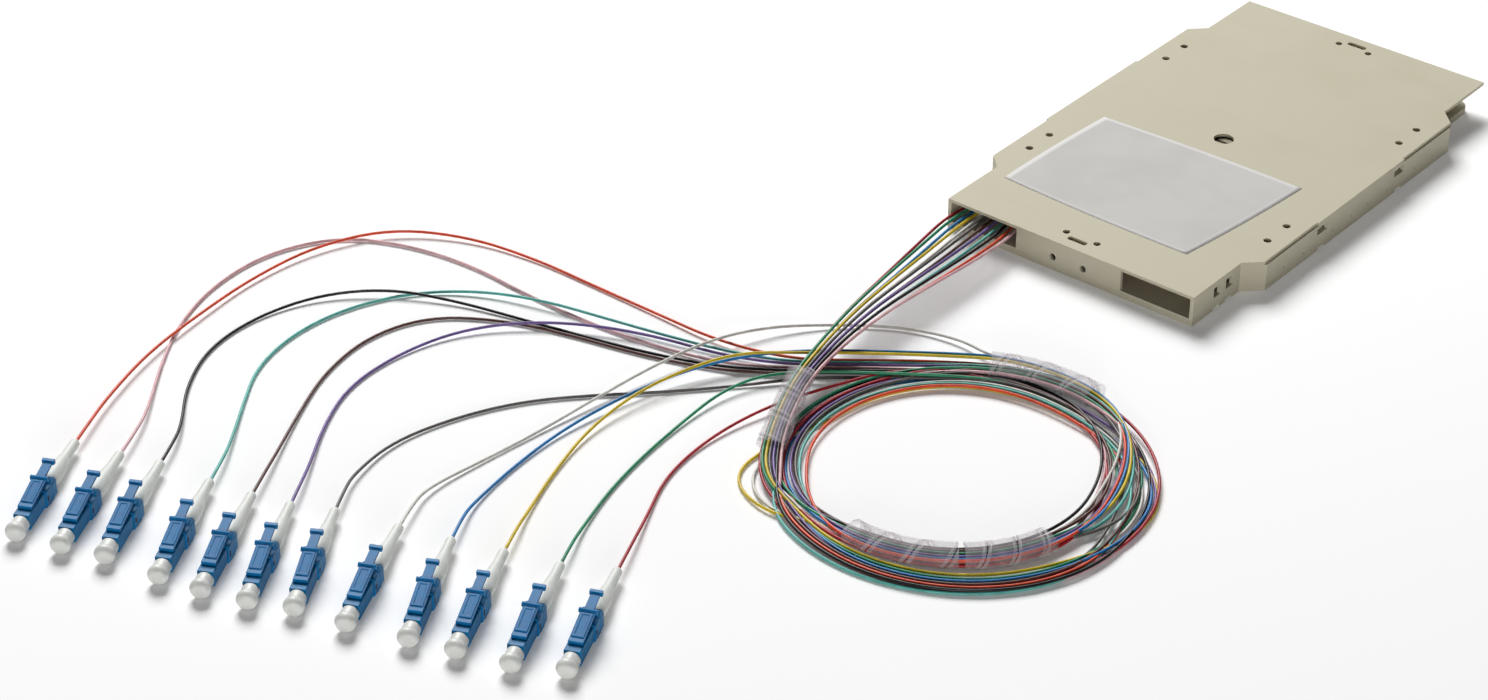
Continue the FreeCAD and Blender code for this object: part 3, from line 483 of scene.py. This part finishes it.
def moulded(node, body, material, edge, reshape=None):
    """The node's form with welded faces and rounded edges, whose faces are marked as an edge band."""
    source = frame["nodes"][node].data.copy()
    if "custom_normal" in source.attributes:
        source.attributes.remove(source.attributes["custom_normal"])
    form = bmesh.new()
    form.from_mesh(source)
    bmesh.ops.remove_doubles(form, verts=form.verts, dist=weld_distance)
    bmesh.ops.dissolve_limit(
        form, angle_limit=flat_within, verts=form.verts, edges=form.edges
    )
    edge_band = form.faces.layers.float.new("edge_band")
    if reshape is not None:
        reshape(form)
    sharp = [e for e in form.edges if e.is_manifold and e.calc_face_angle(0.0) > sharp_from]
    rounded = bmesh.ops.bevel(
        form, geom=sharp, offset=edge, offset_type="OFFSET", affect="EDGES",
        segments=2, profile=0.5, material=-1, clamp_overlap=True,
    )
    for face in rounded["faces"]:
        face[edge_band] = 1.0
    for face in form.faces:
        face.smooth = True
        face.material_index = 0
    mesh = bpy.data.meshes.new(node + "_form")
    form.to_mesh(mesh)
    form.free()
    bpy.data.meshes.remove(source)
    mesh.materials.clear()
    mesh.materials.append(material)
    piece = bpy.data.objects.new(node + "_form", mesh)
    bpy.context.scene.collection.objects.link(piece)
    crisp = piece.modifiers.new("crisp_faces", "WEIGHTED_NORMAL")
    crisp.weight = 60
    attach(piece, body)
    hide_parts(node)
    return piece


post_hole_radius = 0.0024
painted_shade_outer_radius = 0.0031


def cassette_finish(name, warm):
    """Matt moulded beige: fine grain, faint flow clouds, polished edges made lighter by wear and a
    painted highlight, and painted shade in the post hole.
    """
    material, grow, shader = new_finish(name, Coat_Weight=0.06, Coat_Roughness=0.45)
    clouds = noise(grow, 38.0, 3.0)
    streaks = noise(grow, 120.0, 2.0, (0.35, 1.0, 1.0))
    grain = noise(grow, 5200.0, 2.0)
    edge = grow.node("Attribute", {"attribute_name": "edge_band"}, output=2)
    place = grow.node("TexCoord", output=3)
    from_post = place.node("VectorMath", {"operation": "LENGTH"}, {
        0: place.node("VectorMath", {"operation": "MULTIPLY"}, {0: place, 1: (1.0, 1.0, 0.0)}),
    }, output=1)
    # Painted shade: the post's hole is darkened towards its middle, as if shaded by its depth.
    post_hole_painted_shade = from_post.step(painted_shade_outer_radius, post_hole_radius) * 0.75
    body_tone = clouds.step(0.3, 0.7).mix(srgb(189, 182, 160 - warm), srgb(193, 187, 166 - warm))
    drawn = (streaks.step(0.52, 0.8) * 0.2).mix(body_tone, srgb(183, 175, 152 - warm))
    drawn = post_hole_painted_shade.mix(drawn, srgb(120, 108, 82))
    feed(
        # The rounded edges are lighter, partly from wear and partly as a painted highlight.
        shader,
        Base_Color=(edge * 0.6).mix(drawn, srgb(219, 214, 196)),
        Roughness=0.58 + 0.16 * clouds - 0.14 * edge,
        Normal=bump(grain, 0.00003),
    )
    return material


tray_edge = 0.0003
cover_edge = 0.00028
cover_warmer_by = 3
tray_plastic = cassette_finish("tray_plastic", 0)
cover_plastic = cassette_finish("cover_plastic", cover_warmer_by)
moulded("base_tray", "tray", tray_plastic, tray_edge)
moulded("cover", "cover", cover_plastic, cover_edge)


# ---------------------------------------------------------------- Label
# A plain paper label with no print, glued on the front half of the cover. Its corners lift a
# little, its cut edges carry a painted highlight, and the paper shows its fibres when seen close.


def label_finish():
    """Matt white paper with a faint cloud and its own fibres."""
    material, grow, shader = new_finish("label_paper", Roughness=0.8)
    fibres_of_paper = noise(grow, 1500.0, 4.0)
    cloud = noise(grow, 60.0, 2.0)
    edge = grow.node("Attribute", {"attribute_name": "edge_band"}, output=2)
    tone = cloud.step(0.3, 0.7).mix(srgb(193, 190, 187), srgb(199, 197, 194))
    # A painted highlight lightens the band along the cut edges.
    feed(
        shader,
        Base_Color=(edge * 0.5).mix(tone, srgb(226, 225, 222)),
        Roughness=0.7 + 0.14 * fibres_of_paper,
        Normal=bump(fibres_of_paper, 0.000012),
    )
    return material


label_top = 0.00989
paper_thickness = 0.00009
corner_lift = 0.00005
side_bow = 0.035
end_bow = 0.06
cut_edge_from = 0.97
label_corners = [(-0.0386, -0.0627), (0.0292, -0.0649), (0.0352, -0.0098), (-0.0365, -0.0114)]
sheet = bmesh.new()
bmesh.ops.create_grid(sheet, x_segments=40, y_segments=36, size=1.0)
# The band along the cut edges is marked for its painted highlight.
edge_band = sheet.faces.layers.float.new("edge_band")
for face in sheet.faces:
    middle = face.calc_center_median()
    face[edge_band] = 1.0 if max(abs(middle.x), abs(middle.y)) > cut_edge_from else 0.0
    face.smooth = True
front_left, front_right, rear_right, rear_left = [Vector((x, y, 0)) for x, y in label_corners]
for vert in sheet.verts:
    u, v = vert.co.x, vert.co.y
    bowed_u = (u * math.sqrt(1 - side_bow * v * v) + 1) / 2
    bowed_v = (v * math.sqrt(1 - end_bow * u * u) + 1) / 2
    place = front_left.lerp(front_right, bowed_u).lerp(rear_left.lerp(rear_right, bowed_u), bowed_v)
    curl = corner_lift * (u * v) ** 4
    vert.co = place + Vector((0, 0, label_top + curl))
label_mesh = bpy.data.meshes.new("bare_label")
sheet.to_mesh(label_mesh)
sheet.free()
label_mesh.materials.append(label_finish())
label = bpy.data.objects.new("bare_label", label_mesh)
bpy.context.scene.collection.objects.link(label)
label_thick = label.modifiers.new("paper_thickness", "SOLIDIFY")
label_thick.thickness = paper_thickness
label_thick.offset = -1.0
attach(label, "cover")
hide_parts("blank_label")


# ---------------------------------------------------------------- Splice comb
# An ivory comb of thin moulded ribs, set between two rails on the tray's floor. The cover
# hides it until it is lifted.


def comb_finish():
    """Ivory plastic with thin, lighter rib edges."""
    material, grow, shader = new_finish("comb_plastic", Coat_Weight=0.1, Coat_Roughness=0.4)
    clouds = noise(grow, 90.0)
    grain = noise(grow, 4200.0)
    edge = grow.node("Attribute", {"attribute_name": "edge_band"}, output=2)
    tone = clouds.step(0.3, 0.7).mix(srgb(222, 219, 206), srgb(233, 231, 220))
    feed(
        shader,
        Base_Color=(edge * 0.5).mix(tone, srgb(243, 242, 236)),
        Roughness=0.46 + 0.12 * clouds,
        Normal=bump(grain, 0.00002),
    )
    return material


comb_edge = 0.00008
moulded("splice_holder", "tray", comb_finish(), comb_edge)


# ---------------------------------------------------------------- Stored fibre
# The rest of each pigtail: turns of the same twelve buffered fibres laid round the two
# winding drums, under the fingers. Each turn lies a little apart from the next.

drum_y = 0.041
first_turn_radius = 0.0312
turn_pitch = 0.00092
lowest_turn = 0.0029
layer_step = 0.00098
turns_in_layer = 4
layers = 4
arc_steps = 8
arc_swell = 1.018
turn_slack = 0.00006
stored_curve = bpy.data.curves.new("stored_turns", "CURVE")
stored_curve.dimensions = "3D"
stored_curve.bevel_depth = fibre_radius
stored_curve.bevel_resolution = 1
stored_curve.resolution_u = 4
for name in fibres:
    stored_curve.materials.append(cords[name].data.materials[0])
stored_shuffle = random.Random(7)
turn_colours = [i % len(fibres) for i in range(turns_in_layer * layers)]
stored_shuffle.shuffle(turn_colours)
for i, colour in enumerate(turn_colours):
    radius = first_turn_radius + turn_pitch * (i % turns_in_layer)
    height = lowest_turn + layer_step * (i // turns_in_layer)
    loop = stored_curve.splines.new("NURBS")
    corners = []
    for turn in (1, -1):
        for step in range(arc_steps + 1):
            angle = math.pi * step / arc_steps
            swell = radius * (1.0 if step in (0, arc_steps) else arc_swell)
            slack = stored_shuffle.uniform(-turn_slack, turn_slack)
            corners.append(Vector((
                turn * (swell + slack) * math.cos(angle),
                turn * (drum_y + swell * math.sin(angle)),
                height,
            )))
    loop.points.add(len(corners) - 1)
    for point, place in zip(loop.points, corners):
        point.co = (*place, 1.0)
    loop.order_u = 3
    loop.use_cyclic_u = True
    loop.material_index = colour
stored = bpy.data.objects.new("stored_turns", stored_curve)
bpy.context.scene.collection.objects.link(stored)
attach(stored, "tray")
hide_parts("stored_fibre")


# ---------------------------------------------------------------- Spiral wraps
# Strips of soft clear film that are wound round the bundle into sleeves, with a narrow gap
# between turns. They grip the fibres by their own spring.


def film_finish():
    """Clear soft film, a little hazy, and lighter and denser along the strip's edges."""
    material, grow, shader = new_finish("clear_film", IOR=1.46, Coat_Weight=0.12, Coat_Roughness=0.3)
    haze = noise(grow, 260.0, 3.0)
    scratches = noise(grow, 900.0, 3.0, (0.2, 1.0, 1.0))
    edge = grow.node("Attribute", {"attribute_name": "edge_band"}, output=2)
    tone = haze.step(0.3, 0.7).mix(srgb(186, 176, 182), srgb(206, 198, 204))
    feed(
        shader,
        Base_Color=(edge * 0.35).mix(tone, srgb(226, 222, 226)),
        Roughness=0.42 + 0.2 * haze,
        Alpha=0.14 + 0.05 * haze.step(0.3, 0.75) + 0.16 * edge,
        Normal=bump(scratches, 0.000006),
    )
    return material


film = film_finish()
film_thickness = 0.0003
strip_of_pitch = 0.955
section_power = 2.6


def spiral_sleeve(name, node, place_at, length, wide, tall, turns, seed):
    """A helical strip round a rounded box section; place_at gives the frame along the path."""
    along_turn, across_strip = 32, 8
    pitch = length / turns
    strip = pitch * strip_of_pitch
    rounds = turns + 1
    form = bmesh.new()
    bmesh.ops.create_grid(
        form, x_segments=int(rounds * along_turn), y_segments=across_strip, size=0.5
    )
    edge_band = form.faces.layers.float.new("edge_band")
    loose = random.Random(seed)
    start = loose.uniform(0, math.tau)
    for face in form.faces:
        across = face.calc_center_median().y + 0.5
        face[edge_band] = 1.0 if across < 0.1 or across > 0.9 else 0.0
        face.smooth = True
    for vert in form.verts:
        turned = (vert.co.x + 0.5) * rounds
        down = pitch * (turned - 1) + strip * (vert.co.y + 0.5)
        down = min(max(down, 0.0), length)
        angle = start + turned * math.tau
        lift = 0.985 + 0.015 * math.sin(turned * 4.1 + start)
        side, up = math.cos(angle), math.sin(angle)
        swell = (abs(side) ** section_power + abs(up) ** section_power) ** (-1 / section_power)
        origin, ahead, aside, above = place_at(down / length)
        vert.co = (
            origin
            + aside * (side * swell * (wide / 2) * lift)
            + above * (up * swell * (tall / 2) * lift)
        )
    bmesh.ops.remove_doubles(form, verts=form.verts, dist=0.00001)
    mesh = bpy.data.meshes.new(name)
    form.to_mesh(mesh)
    form.free()
    mesh.materials.append(film)
    piece = bpy.data.objects.new(name, mesh)
    bpy.context.scene.collection.objects.link(piece)
    thick = piece.modifiers.new("film_thickness", "SOLIDIFY")
    thick.thickness = film_thickness
    thick.offset = 0.0
    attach(piece, "tray")
    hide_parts(node)
    return piece


def straight_path(start, end):
    """The frame along a straight run of the bundle."""
    ahead = (end - start).normalized()
    aside = ahead.cross(Vector((0, 0, 1))).normalized()
    above = aside.cross(ahead)
    return lambda share: (start.lerp(end, share), ahead, aside, above)


def curved_path(centre, radius, height, first, last):
    """The frame along a part of the coil, between two of its angles in degrees."""
    def place_at(share):
        angle = math.radians(first + (last - first) * share)
        outward = Vector((math.cos(angle), math.sin(angle), 0))
        ahead = Vector((-outward.y, outward.x, 0))
        return centre + outward * radius + Vector((0, 0, height)), ahead, outward, Vector((0, 0, 1))
    return place_at


sleeve_turns = 3
wraps = [
    spiral_sleeve(
        "wrap_left", "spiral_wrap_left",
        straight_path(Vector((-0.0214, -0.1795, 0.0067)), Vector((-0.0080, -0.2095, 0.0040))),
        length=0.0329, wide=0.0082, tall=0.0038, turns=sleeve_turns, seed=3,
    ),
    spiral_sleeve(
        "wrap_right", "spiral_wrap_right",
        curved_path(outer_centre, 0.0506, 0.0031, 81, 118),
        length=0.0327, wide=0.0086, tall=0.0056, turns=sleeve_turns, seed=5,
    ),
    spiral_sleeve(
        "wrap_lower_first", "spiral_wraps_lower",
        curved_path(inner_centre, 0.0420, 0.0031, 268, 309),
        length=0.0301, wide=0.0080, tall=0.0056, turns=sleeve_turns, seed=8,
    ),
    spiral_sleeve(
        "wrap_lower_second", "spiral_wraps_lower",
        curved_path(inner_centre, 0.0424, 0.0031, 311, 343),
        length=0.0237, wide=0.0084, tall=0.0056, turns=sleeve_turns, seed=11,
    ),
]


# ---------------------------------------------------------------- Plugs
# Small form factor plugs moulded in satin blue plastic. The springy latch is moulded with
# the body in life, and bends where it leaves the nose; its tail ends in a thumb bar.


def plug_finish(name, shade):
    """Satin blue plastic with lighter, smoother rounded edges, partly from wear and partly a painted
    highlight.
    """
    material, grow, shader = new_finish(name, Specular_IOR_Level=0.2)
    clouds = noise(grow, 420.0, 2.0)
    grain = noise(grow, 6000.0, 2.0)
    edge = grow.node("Attribute", {"attribute_name": "edge_band"}, output=2)
    tone = clouds.step(0.3, 0.7).mix(srgb(2, 103, 154 + shade), srgb(5, 115, 168 + shade))
    # The rounded edges are lighter, partly from wear and partly as a painted highlight.
    feed(
        shader,
        Base_Color=(edge * 0.3).mix(tone, srgb(52, 122, 176)),
        Roughness=0.4 + 0.12 * clouds - 0.08 * edge,
        Normal=bump(grain, 0.00002),
    )
    return material


latch_bluer_by = 6
plug_blue = plug_finish("plug_blue", 0)
latch_blue = plug_finish("latch_blue", latch_bluer_by)


def cap_finish():
    """Milky soft polymer that lets some light through."""
    material, grow, shader = new_finish(
        "cap_clear", Subsurface_Weight=0.35, Subsurface_Scale=0.002,
        Subsurface_Radius=(0.8, 0.9, 1.0), Coat_Weight=0.15, Coat_Roughness=0.3, IOR=1.45,
    )
    clouds = noise(grow, 380.0, 3.0)
    tone = clouds.step(0.3, 0.7).mix(srgb(216, 217, 212), srgb(225, 226, 221))
    feed(
        shader,
        Base_Color=tone,
        Roughness=0.38 + 0.16 * clouds,
        Normal=bump(clouds, 0.00001),
    )
    return material


def boot_finish():
    """Soft white rubber with a dusty sheen, a little see-through at the tip."""
    material, grow, shader = new_finish(
        "boot_white", Subsurface_Weight=0.4, Subsurface_Scale=0.003,
        Subsurface_Radius=(0.8, 0.9, 1.0), Sheen_Weight=0.12,
    )
    clouds = noise(grow, 240.0, 3.0)
    fine = noise(grow, 2600.0, 2.0)
    tone = clouds.step(0.3, 0.7).mix(srgb(216, 218, 212), srgb(225, 227, 221))
    feed(
        shader,
        Base_Color=tone,
        Roughness=0.42 + 0.18 * clouds,
        Normal=bump(fine, 0.00002),
    )
    return material


cap_clear = cap_finish()
boot_white = boot_finish()

# Profile of the boot along the plug's axis: distance from the cap's front, and radius. A
# full body by the plug, a long waist, and a thin sleeve that ends in a small lip.
boot_profile = [
    (0.0235, 0.0005), (0.0235, 0.00215), (0.0238, 0.00232), (0.0262, 0.0025), (0.0288, 0.00252),
    (0.0308, 0.0024), (0.0326, 0.00215), (0.0343, 0.00187), (0.0360, 0.00166), (0.0380, 0.00151),
    (0.0400, 0.00143), (0.0418, 0.0014), (0.0430, 0.0014), (0.0434, 0.0013), (0.0435, 0.0011),
    (0.0435, 0.0005),
]

# The cap: a head with a well rounded rim to pull it by, and a full neck against the plug.
cap_profile = [
    (0.0, 0.00001), (0.0, 0.0013), (0.00012, 0.0019), (0.00045, 0.0024), (0.001, 0.00275),
    (0.0016, 0.00286), (0.0022, 0.0028), (0.0026, 0.00262), (0.0028, 0.00245), (0.0031, 0.0024),
    (0.0050, 0.00242), (0.0056, 0.00235), (0.0059, 0.0021), (0.0059, 0.0007),
    (0.0024, 0.0007), (0.0023, 0.00001),
]


def turned_piece(name, profile, place, steps=24):
    """A profile spun round the plug's own axis."""
    form = bmesh.new()
    verts = [form.verts.new((x, radius, 0)) for x, radius in profile]
    edges = [form.edges.new(pair) for pair in zip(verts, verts[1:])]
    bmesh.ops.spin(
        form, geom=verts + edges, cent=(0, 0, 0), axis=(1, 0, 0), angle=math.tau,
        steps=steps, use_merge=True,
    )
    bmesh.ops.recalc_face_normals(form, faces=form.faces)
    for face in form.faces:
        face.smooth = True
    form.transform(place)
    mesh = bpy.data.meshes.new(name)
    form.to_mesh(mesh)
    form.free()
    piece = bpy.data.objects.new(name, mesh)
    bpy.context.scene.collection.objects.link(piece)
    return piece


waist_side = 0.00254


def housing_shape(place):
    """Leaves the waist in the housing's sides as a shallow step."""
    back = place.inverted()

    def reshape(form):
        for vert in form.verts:
            spot = back @ vert.co
            if 0.0188 < spot.x < 0.0212 and 0.0022 < abs(spot.y) < 0.0023:
                spot.y = math.copysign(waist_side, spot.y)
                vert.co = place @ spot
    return reshape


arm_wider = 1.26
thumb_bar_slimmer = 0.84
panel_margin = 0.00042
panel_wall = 0.00006
panel_rise = 0.00028
dish_margin = 0.0009
dish_slope = 0.0002
dish_depth = 0.00014


def latch_shape(place):
    """Widens the arm, slims the thumb bar, and raises a panel on the arm's top."""
    back = place.inverted()

    def reshape(form):
        for vert in form.verts:
            spot = back @ vert.co
            if spot.x < 0.0190 and abs(spot.y) < 0.0018:
                spot.y *= arm_wider
            elif spot.x > 0.0250 and abs(spot.y) > 0.0015:
                spot.y *= thumb_bar_slimmer
            vert.co = place @ spot
        form.normal_update()
        tops = [
            f for f in form.faces
            if f.normal.z > 0.9 and 0.011 < (back @ f.calc_center_median()).x < 0.018
        ]
        top = max(tops, key=lambda f: f.calc_area())
        for margin, rise in (
            (panel_margin, 0.0), (panel_wall, panel_rise),
            (dish_margin, 0.0), (dish_slope, -dish_depth),
        ):
            bmesh.ops.inset_region(form, faces=[top], thickness=margin, depth=rise)
    return reshape


# The pin holes are dark blue discs: painted shade in place of the shade inside real holes.
painted_pin_shade, grow, shader = new_finish("painted_pin_hole_shade")
shade_mottle = noise(grow, 700.0)
feed(
    shader,
    Base_Color=shade_mottle.step(0.3, 0.7).mix(srgb(8, 26, 44), srgb(14, 40, 66)),
    Roughness=0.7 + 0.1 * shade_mottle,
)
pin_along = 0.0176
pin_below_axis = 0.0001
pin_side = 0.00268
pin_radius = 0.00062
pin_floor_radius = 0.00054
pin_relief = 0.00008


def side_pins(name, place):
    """Dark oval discs of painted shade that stand for the small pin holes in both sides of the
    housing.
    """
    form = bmesh.new()
    for side in (-1, 1):
        oval = bmesh.ops.create_cone(
            form, cap_ends=True, segments=20,
            radius1=pin_radius, radius2=pin_floor_radius, depth=pin_relief,
        )
        bmesh.ops.transform(
            form, verts=oval["verts"],
            matrix=Matrix.Translation((pin_along, side * pin_side, -pin_below_axis))
            @ Matrix.Rotation(side * math.radians(-90), 4, "X")
            @ Matrix.Diagonal((0.85, 1.6, 1.0, 1.0)),
        )
    form.transform(place)
    mesh = bpy.data.meshes.new("pins_" + name)
    form.to_mesh(mesh)
    form.free()
    mesh.materials.append(painted_pin_shade)
    piece = bpy.data.objects.new("pins_" + name, mesh)
    bpy.context.scene.collection.objects.link(piece)
    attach(piece, "tray")
    return piece


lobe_along = 0.0218
lobe_side = 0.00205
lobe_height = 0.0023
lobe_radius = 0.0013
lobe_width = 0.0009
lobe_rim = 0.0002


def rear_lobes(name, place):
    """Two rounded shoulders beside the latch's tail, on top of the housing's rear."""
    form = bmesh.new()
    form.faces.layers.float.new("edge_band")
    for side in (-1, 1):
        lobe = bmesh.ops.create_cone(
            form, cap_ends=True, segments=28,
            radius1=lobe_radius, radius2=lobe_radius, depth=lobe_width,
        )
        bmesh.ops.transform(
            form, verts=lobe["verts"],
            matrix=Matrix.Translation((lobe_along, side * lobe_side, lobe_height))
            @ Matrix.Rotation(math.radians(90), 4, "X")
            @ Matrix.Diagonal((1.15, 1.0, 1.0, 1.0)),
        )
    rims = [e for e in form.edges if e.calc_face_angle(0.0) > math.radians(60)]
    bmesh.ops.bevel(
        form, geom=rims, offset=lobe_rim, offset_type="OFFSET", affect="EDGES",
        segments=2, profile=0.5, material=-1,
    )
    for face in form.faces:
        face.smooth = True
    form.transform(place)
    mesh = bpy.data.meshes.new("lobes_" + name)
    form.to_mesh(mesh)
    form.free()
    mesh.materials.append(plug_blue)
    piece = bpy.data.objects.new("lobes_" + name, mesh)
    bpy.context.scene.collection.objects.link(piece)
    piece.modifiers.new("crisp_faces", "WEIGHTED_NORMAL").weight = 60
    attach(piece, "tray")
    return piece


housing_edge = 0.00016
latch_edge = 0.0001
plug_pieces = {}
for name in fibres:
    place = plug_place(name)
    housing = moulded(
        "housing_" + name, "tray", plug_blue, housing_edge, housing_shape(place)
    )
    latch = moulded(
        "latch_" + name, "latch_" + name, latch_blue, latch_edge, latch_shape(place)
    )
    pins = side_pins(name, place)
    lobes = rear_lobes(name, place)
    cap = turned_piece("cap_" + name, cap_profile, place)
    cap.data.materials.append(cap_clear)
    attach(cap, "dust_cap_" + name)
    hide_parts("dust_cap_" + name)
    boot = turned_piece("boot_" + name, boot_profile, place)
    boot.data.materials.append(boot_white)
    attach(boot, "tray")
    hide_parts("boots")
    plug_pieces[name] = [housing, latch, cap, boot, pins, lobes]

# ---------------------------------------------------------------- Ferrules
# Polished white ceramic pins in the noses of the plugs, inside the caps.

ceramic, grow, shader = new_finish("zirconia", Coat_Weight=0.8, Coat_Roughness=0.05)
polish = noise(grow, 900.0)
feed(
    shader,
    Base_Color=polish.step(0.3, 0.7).mix(srgb(236, 234, 228), srgb(246, 245, 241)),
    Roughness=0.12 + 0.06 * polish,
)
ferrules = frame["nodes"]["ferrules"]
ferrules.data.materials.clear()
ferrules.data.materials.append(ceramic)

# ---------------------------------------------------------------- Pieces listed per cord
# Each pigtail leaves the left mouth of the tray, and carries its boot and plug at the end. The
# wraps grip all twelve, and the ferrules are one node, so both are listed with the first.

plug_pieces["red"] += wraps + [ferrules]

# ---------------------------------------------------------------- Floor and light
# A pale studio floor that the camera sees near white. One large soft box stands behind the
# cassette's left side, and a small low one in front of it lifts the walls.

floor_half_size = 6.0
floor_white = (0.97, 0.97, 0.97, 1.0)
white = (1.0, 1.0, 1.0, 1.0)
lift_in_view = 0.1
sky_strength = 0.05
floor_form = bmesh.new()
bmesh.ops.create_grid(floor_form, x_segments=1, y_segments=1, size=floor_half_size)
floor_mesh = bpy.data.meshes.new("studio_floor")
floor_form.to_mesh(floor_mesh)
floor_form.free()
floor = bpy.data.objects.new("studio_floor", floor_mesh)
bpy.context.scene.collection.objects.link(floor)

floor_paper, grow, shader = new_finish(
    "studio_floor", Roughness=0.9, Specular_IOR_Level=0.0, Base_Color=floor_white,
)
seen = grow.node("LightPath", output=0)
lift = grow.node("Emission", inputs={0: white, 1: seen * lift_in_view})
output = floor_paper.node_tree.nodes["Material Output"]
both = grow.node("AddShader", inputs={0: Shade(floor_paper.node_tree, shader.outputs[0]), 1: lift})
floor_paper.node_tree.links.new(both.socket, output.inputs[0])
floor_mesh.materials.append(floor_paper)

world = bpy.data.worlds.new("white_studio")
bpy.context.scene.world = world
world.use_nodes = True
sky = world.node_tree.nodes["Background"]
sky.inputs[0].default_value = white
sky.inputs[1].default_value = sky_strength


def soft_light(name, place, aim, size, power):
    """A square soft box that points at a spot on the table."""
    light = bpy.data.lights.new(name, "AREA")
    light.size = size
    light.energy = power
    holder = bpy.data.objects.new(name, light)
    holder.location = place
    holder.rotation_mode = "QUATERNION"
    holder.rotation_quaternion = (Vector(aim) - Vector(place)).to_track_quat("-Z", "Y")
    bpy.context.scene.collection.objects.link(holder)


middle_of_table = (-0.04, -0.15, 0.0)
soft_light("main_softbox", (-1.50, 1.02, 1.75), middle_of_table, size=1.2, power=85.0)
soft_light("camera_fill", (0.80, -1.30, 0.22), middle_of_table, size=0.4, power=8.0)
